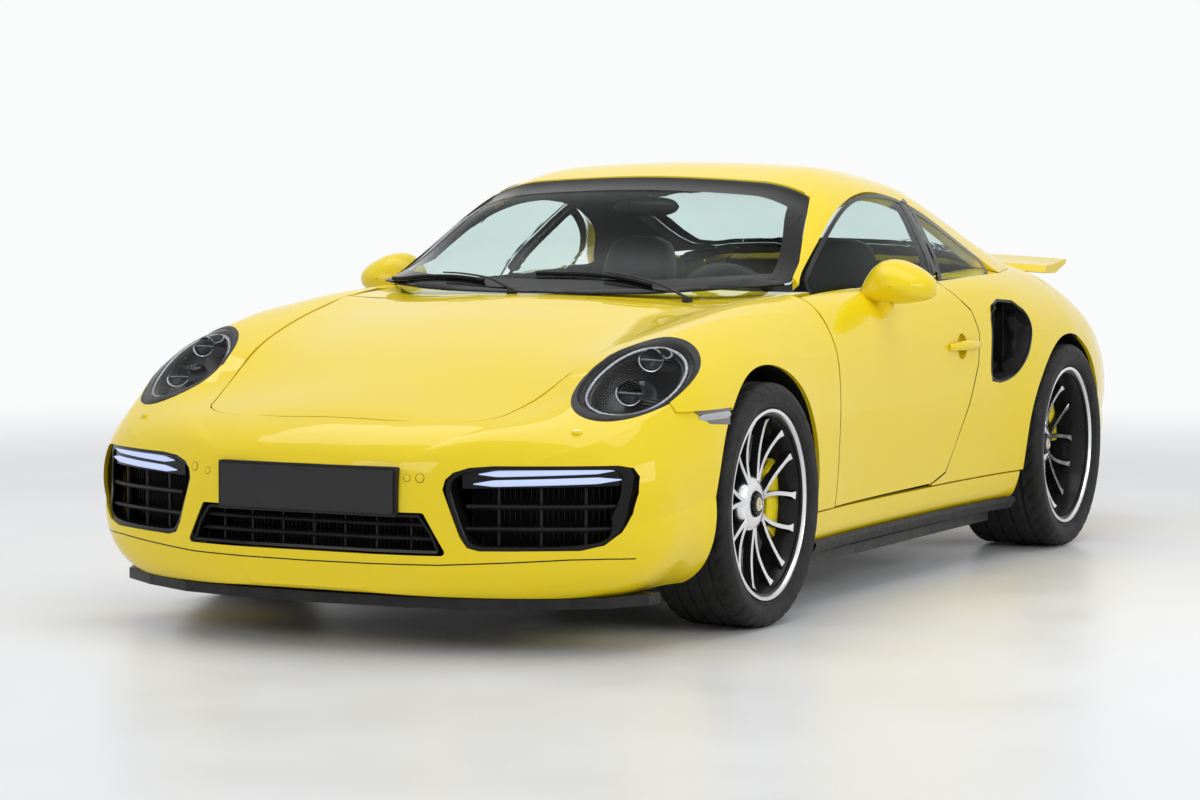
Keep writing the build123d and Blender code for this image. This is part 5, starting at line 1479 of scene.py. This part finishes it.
def makeBinnacle():
    # Hooded cluster with five round dials, and three bright bars over the middle vents.
    look, shape, centreX = binnacleLook, Shape(), steerLook["centre"].x
    halfWide, halfHigh, hoodZ = look["hood"]
    rings = []
    for y, share in ((-0.640, 0.75), (-0.600, 0.95), (-0.540, 1.0), (-0.500, 0.985), (-0.496, 0.93),
                     (-0.530, 0.90)):
        rings.append([Vector((centreX + halfWide * share * math.cos(a), y,
                              hoodZ + halfHigh * share * math.sin(a)))
                      for a in [math.pi * i / 32 for i in range(33)]])  # fmt: skip
    shape.grid(rings, 0)
    for x, size in look["dials"]:
        centre = Vector((centreX + x, *look["dialPlace"]))
        ring = [centre + Vector((size * math.cos(a), 0.006 * math.sin(a), size * 0.95 * math.sin(a)))
                for a in turns(40)]  # fmt: skip
        shape.tube(ring, 0.0022, 1, 6, closed=True, up=(0, 1, 0))
        shape.cap(ring, 2)
        shape.tube([centre + Vector((0, 0.003, 0)), centre + Vector((-size * 0.6, 0.004, -size * 0.45))],
                   0.0012, 1, 5)
    for x in (-0.075, 0.0, 0.075):
        shape.tube([Vector((x - 0.03, *look["ventPlace"])), Vector((x + 0.03, *look["ventPlace"]))], 0.0035,
                   1, 6)
    shape.piece("instrument_hood", [looks["trim"], looks["machined"], looks["glossBlack"]], "body_shell",
                "trim", sharp=60)


makeBinnacle()
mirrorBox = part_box("interior_mirror")


def makeInnerMirror():
    # Rounded mirror on a stem under a small round sensor pod.
    (x0, y0, z0), (x1, y1, z1) = mirrorBox
    shape, rings = Shape(), []
    height, middle, stemY = 0.030, z0 + 0.031, (y0 + y1) / 2
    for k in range(25):
        t = k / 24
        x = mixed(x0 + 0.002, x1 - 0.002, t)
        size = (1 - abs(2 * t - 1) ** 3.2) ** 0.5 if 0 < k < 24 else 0.05
        rings.append([Vector((x, y0 + 0.012 + 0.010 * math.sin(a) * size,
                              middle + height * size * math.cos(a)))
                      for a in turns(20)])  # fmt: skip
    shape.loft(rings, 0)
    stem = [Vector((0, y0 + 0.014, middle + 0.006)), Vector((0, y0 + 0.020, middle + 0.045)),
            Vector((0, stemY + 0.012, z1 - 0.004))]  # fmt: skip
    shape.tube(evenly(refined(stem, 2), 16), 0.0105, 0, 10)
    shape.upright(Vector((0, stemY + 0.008, z1 - 0.020)), 0.030, 0.014)
    return shape.piece("inner_mirror", [looks["glossBlack"]], "body_shell", "black_plastic", sharp=60)


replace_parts(makeInnerMirror(), "interior_mirror")
print("steering wheel and inner mirror")


intakeLook = {
    "outline": [(0.380, 0.432), (0.386, 0.458), (0.404, 0.476), (0.442, 0.489), (0.500, 0.494),
                (0.776, 0.495), (0.806, 0.488), (0.820, 0.466), (0.822, 0.424), (0.812, 0.372),
                (0.790, 0.324), (0.756, 0.292), (0.705, 0.279), (0.470, 0.276), (0.440, 0.284),
                (0.422, 0.312)],
    "rim": 0.011, "endBand": 0.030, "endFrom": 0.775, "depth": 0.050,
    "blades": (0.390, 0.333), "bladeHalf": 0.0065, "bladeEnds": (0.430, 0.792), "bladeBack": 0.016,
    "dividers": (0.600, 0.500, 0.700), "dividerEnds": (0.282, 0.436), "dividerBack": 0.034,
    "shelfEnds": (0.420, 0.795), "formAt": (0.262, 0.512),
    "bars": [((0.462, 0.472), (0.772, 0.483)), ((0.450, 0.447), (0.778, 0.458))], "barHalf": 0.0085,
}  # fmt: skip


def noseFormY(x, z):
    # The bumper's form carried across the intake, from the skin above and below it.
    lowZ, highZ = intakeLook["formAt"]
    high, _ = noseSkin.nose(x, highZ)
    low, _ = noseSkin.nose(x, lowZ)
    if high is None or low is None:
        return -2.1
    return mixed(low.y, high.y, (z - lowZ) / (highZ - lowZ))


def makeIntakeFrame():
    # Left outer intake: frame, two blades, three dividers, and a shelf with two light bars.
    look, shape, bars = intakeLook, Shape(), Shape()
    outline = smoothLoop(look["outline"], 120)
    rows = []
    for amount, back in ((-0.0012, 0.0015), (-0.0004, -0.0010), (0.0015, -0.0016), (0.8, 0.0), (1.0, 0.003),
                         (1.0, look["depth"])):
        ring = []
        for k, (x, z) in enumerate(outline):
            wide = look["rim"] + look["endBand"] * max(0.0, min(1.0, (x - look["endFrom"]) / 0.025))
            inwards = wide * amount if amount > 0.5 else amount
            along = (Vector(outline[(k + 1) % len(outline)]) - Vector(outline[k - 1])).normalized()
            x, z = x + along.y * inwards, z - along.x * inwards
            ring.append(Vector((x, noseFormY(x, z) + back, z)))
        rows.append(softened(ring, 2))
    shape.grid(rows, 0, closeColumns=True)
    for z in look["blades"]:
        rings = []
        for k in range(25):
            x = mixed(*look["bladeEnds"], k / 24)
            y = noseFormY(x, z) + look["bladeBack"]
            rings.append([(x, y + 0.018 * (1 - math.cos(a)) - 0.006,
                           z + look["bladeHalf"] * math.sin(a) - 0.003 * (1 - math.cos(a)))
                          for a in turns(16)])  # fmt: skip
        shape.loft(rings, 1)
    for x in look["dividers"]:
        y = noseFormY(x, 0.36) + look["dividerBack"]
        shape.tube([(x, y, z) for z in look["dividerEnds"]], 0.0042, 1, 8)
    # shelf that carries the light bars
    shelf = []
    for k in range(25):
        x = mixed(*look["shelfEnds"], k / 24)
        y = noseFormY(x, 0.46)
        shelf.append([(x, y + 0.010, 0.496), (x, y + 0.010, 0.4345 + 0.008 * k / 24),
                      (x, y + 0.050, 0.428 + 0.008 * k / 24)])
    shape.grid(shelf, 0)
    for (x0, z0), (x1, z1) in look["bars"]:
        rings = []
        for k in range(33):
            t = k / 32
            x, z = mixed(x0, x1, t), mixed(z0, z1, t)
            half = look["barHalf"] * min(1.0, 0.18 + 6 * t, 0.18 + 6 * (1 - t))
            y = noseFormY(x, z) + 0.006
            rings.append([(x, y - 0.0035 * math.cos(a), z + half * math.sin(a)) for a in turns(16)])
        bars.loft(rings, 0)
    return shape, bars


# Outline in x and z, height and half length of each slat, and the step between the uprights.
middleGrilleLook = {
    "outline": [(-0.372, 0.268), (0.372, 0.268), (0.352, 0.318), (0.318, 0.366), (-0.318, 0.366),
                (-0.352, 0.318)],
    "slats": ((0.339, 0.333), (0.303, 0.352)), "slatBack": 0.020,
    "step": 0.094, "uprightEnds": (0.268, 0.368), "uprightBack": 0.040,
}  # fmt: skip


def makeMiddleGrille():
    # Slatted grille under the plate, in a shallow frame.
    shape = Shape()
    ring = evenly([Vector((*p, 0)) for p in middleGrilleLook["outline"]], 120, True)

    def formY(x):
        low, _ = noseSkin.nose(x, 0.255)
        return low.y if low else -2.2

    rows = []
    for amount, back in ((-0.002, 0.004), (0.000, -0.001), (0.007, 0.001), (0.009, 0.012), (0.009, 0.050)):
        row = []
        for k, p in enumerate(ring):
            along = (ring[(k + 1) % len(ring)] - ring[k - 1]).normalized()
            x, z = p.x - along.y * amount, p.y + along.x * amount
            row.append(Vector((x, formY(x) + back + 0.006, z)))
        rows.append(row)
    shape.grid(rows, 0, closeColumns=True)
    for z, reach in middleGrilleLook["slats"]:
        rings = []
        for k in range(31):
            x = mixed(-reach, reach, k / 30)
            y = formY(x) + middleGrilleLook["slatBack"]
            rings.append([(x, y + 0.012 * (1 - math.cos(a)), z + 0.0055 * math.sin(a)) for a in turns(12)])
        shape.loft(rings, 1)
    for k in range(-3, 4):
        x = k * middleGrilleLook["step"]
        y = formY(x) + middleGrilleLook["uprightBack"]
        shape.tube([(x, y, z) for z in middleGrilleLook["uprightEnds"]], 0.0038, 1, 8)
    return shape.piece("middle_grille", [looks["glossBlack"], looks["black_plastic"]], "body_shell",
                       "black_plastic", sharp=50)


intakeFrame, lightBars = makeIntakeFrame()
for side, matrix in bothSides:
    made = intakeFrame.moved(matrix).piece(f"intake_frame_{side}",
                                           [looks["glossBlack"], looks["black_plastic"]], "body_shell",
                                           "black_plastic", sharp=40)
    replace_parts(made, "front_grilles")
    made = lightBars.moved(matrix).piece(f"light_bars_{side}", [looks["lamp_white"]], "body_shell",
                                         "lamp_white", sharp=50)
    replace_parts(made, "daytime_lamps")
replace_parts(makeMiddleGrille(), "front_grilles")
print("intakes")


# Seam in the bumper above the lip: x and z from the middle outwards.
lipSeam = [(0.0, 0.236), (0.37, 0.239), (0.55, 0.248), (0.68, 0.256), (0.76, 0.257), (0.81, 0.2545)]
seamLook = {"half": 0.0016, "proud": 0.0005, "sunk": -0.001}


def makeLipSeam():
    # Thin dark line across the nose.
    shape, skin = Shape(), Surface("front_bumper", "front_fender_left")
    run = [(-x, z) for x, z in reversed(lipSeam)] + lipSeam[1:]
    places, normals = onSurface(skin.nose, run, 160)
    half, proud, sunk = seamLook.values()
    strip(shape, places, normals, [(-half, sunk), (-half, proud), (half, proud), (half, sunk)])
    shape.piece("lip_seam", [looks["glossBlack"]], "body_shell", "black_plastic")


markerLook = {"from": (-1.700, 0.6005), "to": (-1.532, 0.6035), "half": 0.0095}  # y and z of its ends


def makeMarkerLens():
    # Slim smoked lens that follows the corner of the bumper.
    shape, skin = Shape(), Surface("marker_lamps", "front_bumper", "front_fender_left")
    rings = []
    for k in range(25):
        t = k / 24
        y, z = (mixed(a, b, t) for a, b in zip(markerLook["from"], markerLook["to"]))
        place, normal = skin.side(y, z)
        if place is None:
            continue
        half = markerLook["half"] * min(1.0, 0.35 + 5 * t, 0.35 + 5 * (1 - t))
        rings.append([place + normal * (0.0008 + 0.0018 * math.cos(a)) + Vector((0, 0, half * math.sin(a)))
                      for a in turns(12)])  # fmt: skip
    shape.loft(rings, 0)
    return shape


makeLipSeam()
markerLens = makeMarkerLens()
markerGlass = makePlain("markerLens", (0.34, 0.35, 0.36), 0.16, dust=0.02, metallic=0.4, coat=1.0)
for side, matrix in bothSides:
    markerLens.moved(matrix).piece(f"marker_lens_{side}", [markerGlass], "body_shell", "lamp_amber",
                                   sharp=60)


mirrorLook = {
    "outline": [(0.742, 0.874), (0.751, 0.912), (0.775, 0.955), (0.803, 0.984), (0.836, 0.996),
                (0.880, 0.993), (0.930, 0.972), (0.968, 0.946), (0.9825, 0.924), (0.9830, 0.905),
                (0.974, 0.882), (0.940, 0.869), (0.883, 0.861), (0.820, 0.860), (0.772, 0.862)],
    "middle": (0.868, 0.921), "rear": -0.246, "front": -0.372, "armBack": 0.068,
    "foot": [(0.700, 0.868), (0.725, 0.870), (0.765, 0.878)],
    "arm": [(0.722, 0.872), (0.719, 0.850), (0.737, 0.830), (0.766, 0.819), (0.796, 0.826), (0.822, 0.846),
            (0.850, 0.872)],
}  # fmt: skip


def makeMirror():
    # Left door mirror: painted shell, dark rim and foot, looped arm; and its glass.
    look, shape, glass = mirrorLook, Shape(), Shape()
    outline = evenly(refined([Vector((x, 0, z)) for x, z in look["outline"]], 2, True), 96, True)
    centre = Vector((look["middle"][0], 0, look["middle"][1]))
    rings = []
    for share, y in ((0.02, 0.0), (0.22, 0.004), (0.45, 0.014), (0.66, 0.028), (0.82, 0.046), (0.93, 0.068),
                     (0.985, 0.090), (1.0, 0.108), (0.995, 0.124), (0.982, 0.126)):  # fmt: skip
        lean = Vector((0.010 * (1 - share), 0, -0.006 * (1 - share)))
        rings.append([centre + lean + (p - centre) * share + Vector((0, look["front"] + y, 0))
                      for p in outline])
    shape.grid(rings, 0, closeColumns=True)
    rim = [[centre + (p - centre) * share + Vector((0, look["rear"] - back, 0)) for p in outline]
           for share, back in ((0.982, 0.0), (0.955, 0.0005), (0.945, 0.010), (0.93, 0.012))]  # fmt: skip
    shape.grid(rim, 1, closeColumns=True)
    glass.grid([[centre + (p - centre) * share + Vector((0, look["rear"] - 0.011 - 0.001 * (1 - share), 0))
                 for p in outline]
                for share in (0.93, 0.7, 0.4, 0.02)], 0, closeColumns=True)  # fmt: skip
    armY = look["front"] + look["armBack"]
    path = evenly(refined([Vector((x, armY, z)) for x, z in look["arm"]], 2), 40)
    shape.tube(path, [0.0105 + 0.003 * math.sin(math.pi * k / 39) for k in range(40)], 0, 16, flat=2.3)
    foot = [Vector((x, armY, z)) for x, z in look["foot"]]
    shape.tube(foot, [0.017, 0.015, 0.013], 1, 16, flat=2.0)
    return shape, glass


mirrorShape, mirrorGlass = makeMirror()
silver = makeMachined("mirrorGlass", (0.85, 0.87, 0.90), 0.03)
for side, matrix in bothSides:
    made = mirrorShape.moved(matrix).piece(f"mirror_housing_{side}",
                                           [looks["paint"], looks["black_plastic"]], f"door_{side}",
                                           "paint", sharp=45)
    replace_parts(made, f"door_mirror_{side}")
    mirrorGlass.moved(matrix).piece(f"mirror_glass_{side}", [silver], f"door_{side}", "glass", sharp=60)
print("door mirrors")


# Intake ahead of the rear wheel: y and z round its rim, y of its blades and z of their ends.
sideIntake = {
    "outline": [(0.531, 0.599), (0.5265, 0.640), (0.534, 0.700), (0.547, 0.780), (0.580, 0.826),
                (0.656, 0.851), (0.785, 0.843), (0.850, 0.806), (0.855, 0.760), (0.830, 0.708),
                (0.797, 0.658), (0.715, 0.603), (0.604, 0.583)],
    "blades": (0.640, 0.735), "bladeEnds": (0.612, 0.822), "skinFrom": 0.84,
}  # fmt: skip


def makeSideIntake():
    # Rounded rim, a throat that narrows inwards, and two upright blades.
    shape, skin = Shape(), Surface("rear_quarter_left")
    outline = smoothLoop(sideIntake["outline"], 120)
    rows = []
    for out, lift in ((0.0035, -0.0012), (0.0030, 0.0016), (0.0, 0.0022), (-0.0035, 0.0016)):
        ring = []
        for k, (y, z) in enumerate(outline):
            along = (Vector(outline[(k + 1) % len(outline)]) - Vector(outline[k - 1])).normalized()
            beside = [skin.side(y + along.y * step, z - along.x * step)[0] for step in (0.006, -0.006)]
            onSkin = [place.x for place in beside if place is not None and place.x > sideIntake["skinFrom"]]
            ring.append((max(onSkin) if onSkin else None, y + along.y * out, z - along.x * out))
        known = [x for x, _, _ in ring if x is not None]
        fill = sum(known) / len(known)
        rows.append(softened([Vector(((fill if x is None else x) + lift, y, z)) for x, y, z in ring], 3))
    edge = rows[-1]
    middle = sum((p for p in edge), Vector()) / len(edge)
    for share, depth in ((0.965, 0.012), (0.93, 0.040), (0.88, 0.075)):
        rows.append([Vector((p.x - depth, mixed(middle.y, p.y, share), mixed(middle.z, p.z, share)))
                     for p in edge])
    shape.grid(rows, 0, closeColumns=True)
    for y in sideIntake["blades"]:
        section = [(0.838, y), (0.846, y - 0.004), (0.842, y + 0.012), (0.800, y + 0.045),
                   (0.797, y + 0.040)]
        heights = [mixed(*sideIntake["bladeEnds"], k / 12) for k in range(13)]
        shape.loft([[(*place, z) for place in section] for z in heights], 1)
    return shape


sideIntakeShape = makeSideIntake()
for side, matrix in bothSides:
    sideIntakeShape.moved(matrix).piece(f"side_intake_rim_{side}",
                                        [looks["glossBlack"], looks["black_plastic"]], "body_shell",
                                        "black_plastic", sharp=50)
print("side intakes")


postLook = {"foot": (0.2865, 0.890), "slope": 0.65, "half": 0.034, "top": 1.172}


def blackenPosts():
    # The pillar between the side windows is covered in gloss black.
    thing = nodes["roof_rails"]
    thing.data.materials.append(looks["glossBlack"])
    index = len(thing.data.materials) - 1
    for polygon in thing.data.polygons:
        place = polygon.center
        middle = postLook["foot"][0] + postLook["slope"] * (place.z - postLook["foot"][1])
        if abs(place.y - middle) < postLook["half"] and 0.88 < place.z < postLook["top"]:
            polygon.material_index = index


blackenPosts()
tailSkin, lidSkin = Surface("rear_bumper"), Surface("engine_lid")
tailLook = {
    "tips": [(0.3345, 0.4435), (0.4465, 0.5555)], "tipZ": (0.2445, 0.3255), "tipEnd": 2.2365,
    "tipFront": 2.06, "tipCorner": 0.020, "diffuser": (0.305, 0.085), "fins": (-0.21, -0.07, 0.07, 0.21),
    "louvres": (0.400, 1.425, 1.565, 9),
}  # fmt: skip


def makeTips():
    # Twin rounded tail pipes on each side, bright outside and darker inside, closed by a dark cap of
    # painted shade.
    shape, (z0, z1) = Shape(), tailLook["tipZ"]
    for x0, x1 in tailLook["tips"]:

        def ring(inset, y):
            corner = max(0.006, tailLook["tipCorner"] - inset)
            loop = roundedLoop(x0 + inset, x1 - inset, z0 + inset, z1 - inset, corner)
            return [Vector((x, y, z)) for x, z in loop]

        end = tailLook["tipEnd"]
        shape.grid([ring(0.002, tailLook["tipFront"]), ring(0.002, end - 0.010), ring(0.0, end - 0.003),
                    ring(0.001, end), ring(0.004, end), ring(0.006, end - 0.004),
                    ring(0.006, end - 0.020)], 0, closeColumns=True)  # fmt: skip
        # Darker down the pipe; the dark cap at its end is painted shade.
        shape.grid([ring(0.006, end - 0.020), ring(0.008, end - 0.110)], 1, closeColumns=True)
        shape.cap(ring(0.008, end - 0.110), 1)
    return shape


def makeDiffuser():
    # Dark lower panel between the tail pipes, with four fins.
    shape, (half, height) = Shape(), tailLook["diffuser"]
    low = next(z / 1000 for z in range(150, 400, 2) if tailSkin.tail(0.0, z / 1000)[0])
    high, rows = low + height, []
    for k in range(31):
        x = mixed(-half, half, k / 30)
        row = []
        for z in (low, mixed(low, high, 0.25), mixed(low, high, 0.5), mixed(low, high, 0.75), high - 0.002,
                  high):
            place, _ = tailSkin.tail(x, z)
            y = place.y if place else tailSkin.tail(x, low + 0.012)[0].y
            row.append(Vector((x, min(cadBox[1][1] - 0.0002, y + (0.0022 if z < high else -0.001)), z)))
        rows.append(row)
    shape.grid(rows, 0)
    for x in tailLook["fins"]:
        place, _ = tailSkin.tail(x, mixed(low, high, 0.4))
        y = min(place.y if place else 2.20, cadBox[1][1] - 0.0125)
        fin = [[(x - 0.004, y - 0.012, z), (x + 0.004, y - 0.012, z), (x + 0.0025, y + 0.012 * (1 - t), z),
                (x - 0.0025, y + 0.012 * (1 - t), z)]
               for z, t in ((low, 0.0), (mixed(low, high, 0.5), 0.25),
                            (mixed(low, high, 0.9), 1.0))]  # fmt: skip
        shape.loft(fin, 0)
    shape.piece("tail_diffuser", [looks["black_plastic"]], "body_shell", "black_plastic", sharp=40)


def makeLouvres():
    # Dark slatted panel behind the rear window.
    shape, (half, y0, y1, count) = Shape(), tailLook["louvres"]
    rows = []
    for j in range(9):
        y, row = mixed(y0, y1, j / 8), []
        for k in range(25):
            x = mixed(-half, half, k / 24) * (1 - 0.10 * j / 8)
            place, normal = lidSkin.top(x, y)
            row.append((place + normal * 0.0012) if place else Vector((x, y, 0.92)))
        rows.append(row)
    shape.grid(rows, 0)
    for j in range(count):
        y, rings = mixed(y0 + 0.008, y1 - 0.008, j / (count - 1)), []
        for k in range(25):
            x = mixed(-half + 0.008, half - 0.008, k / 24) * (1 - 0.10 * j / (count - 1))
            place, normal = lidSkin.top(x, y)
            place = place if place else Vector((x, y, 0.92))
            rings.append([place + Vector((0, 0.0042 * math.cos(a), 0.0030 * math.sin(a) + 0.002))
                          for a in turns(8)])
        shape.loft(rings, 1)
    shape.piece("lid_louvres", [looks["glossBlack"], looks["black_plastic"]], "engine_lid", "black_plastic",
                sharp=50)


tips = makeTips()
for side, matrix in bothSides:
    tips.moved(matrix).piece(f"tail_pipes_{side}", [looks["machined"], looks["steel"]], "body_shell",
                             "steel", sharp=50)
makeDiffuser()
makeLouvres()
print("tail")
for name, thing in nodes.items():
    thing.data.polygons.foreach_set("use_smooth", [True] * len(thing.data.polygons))
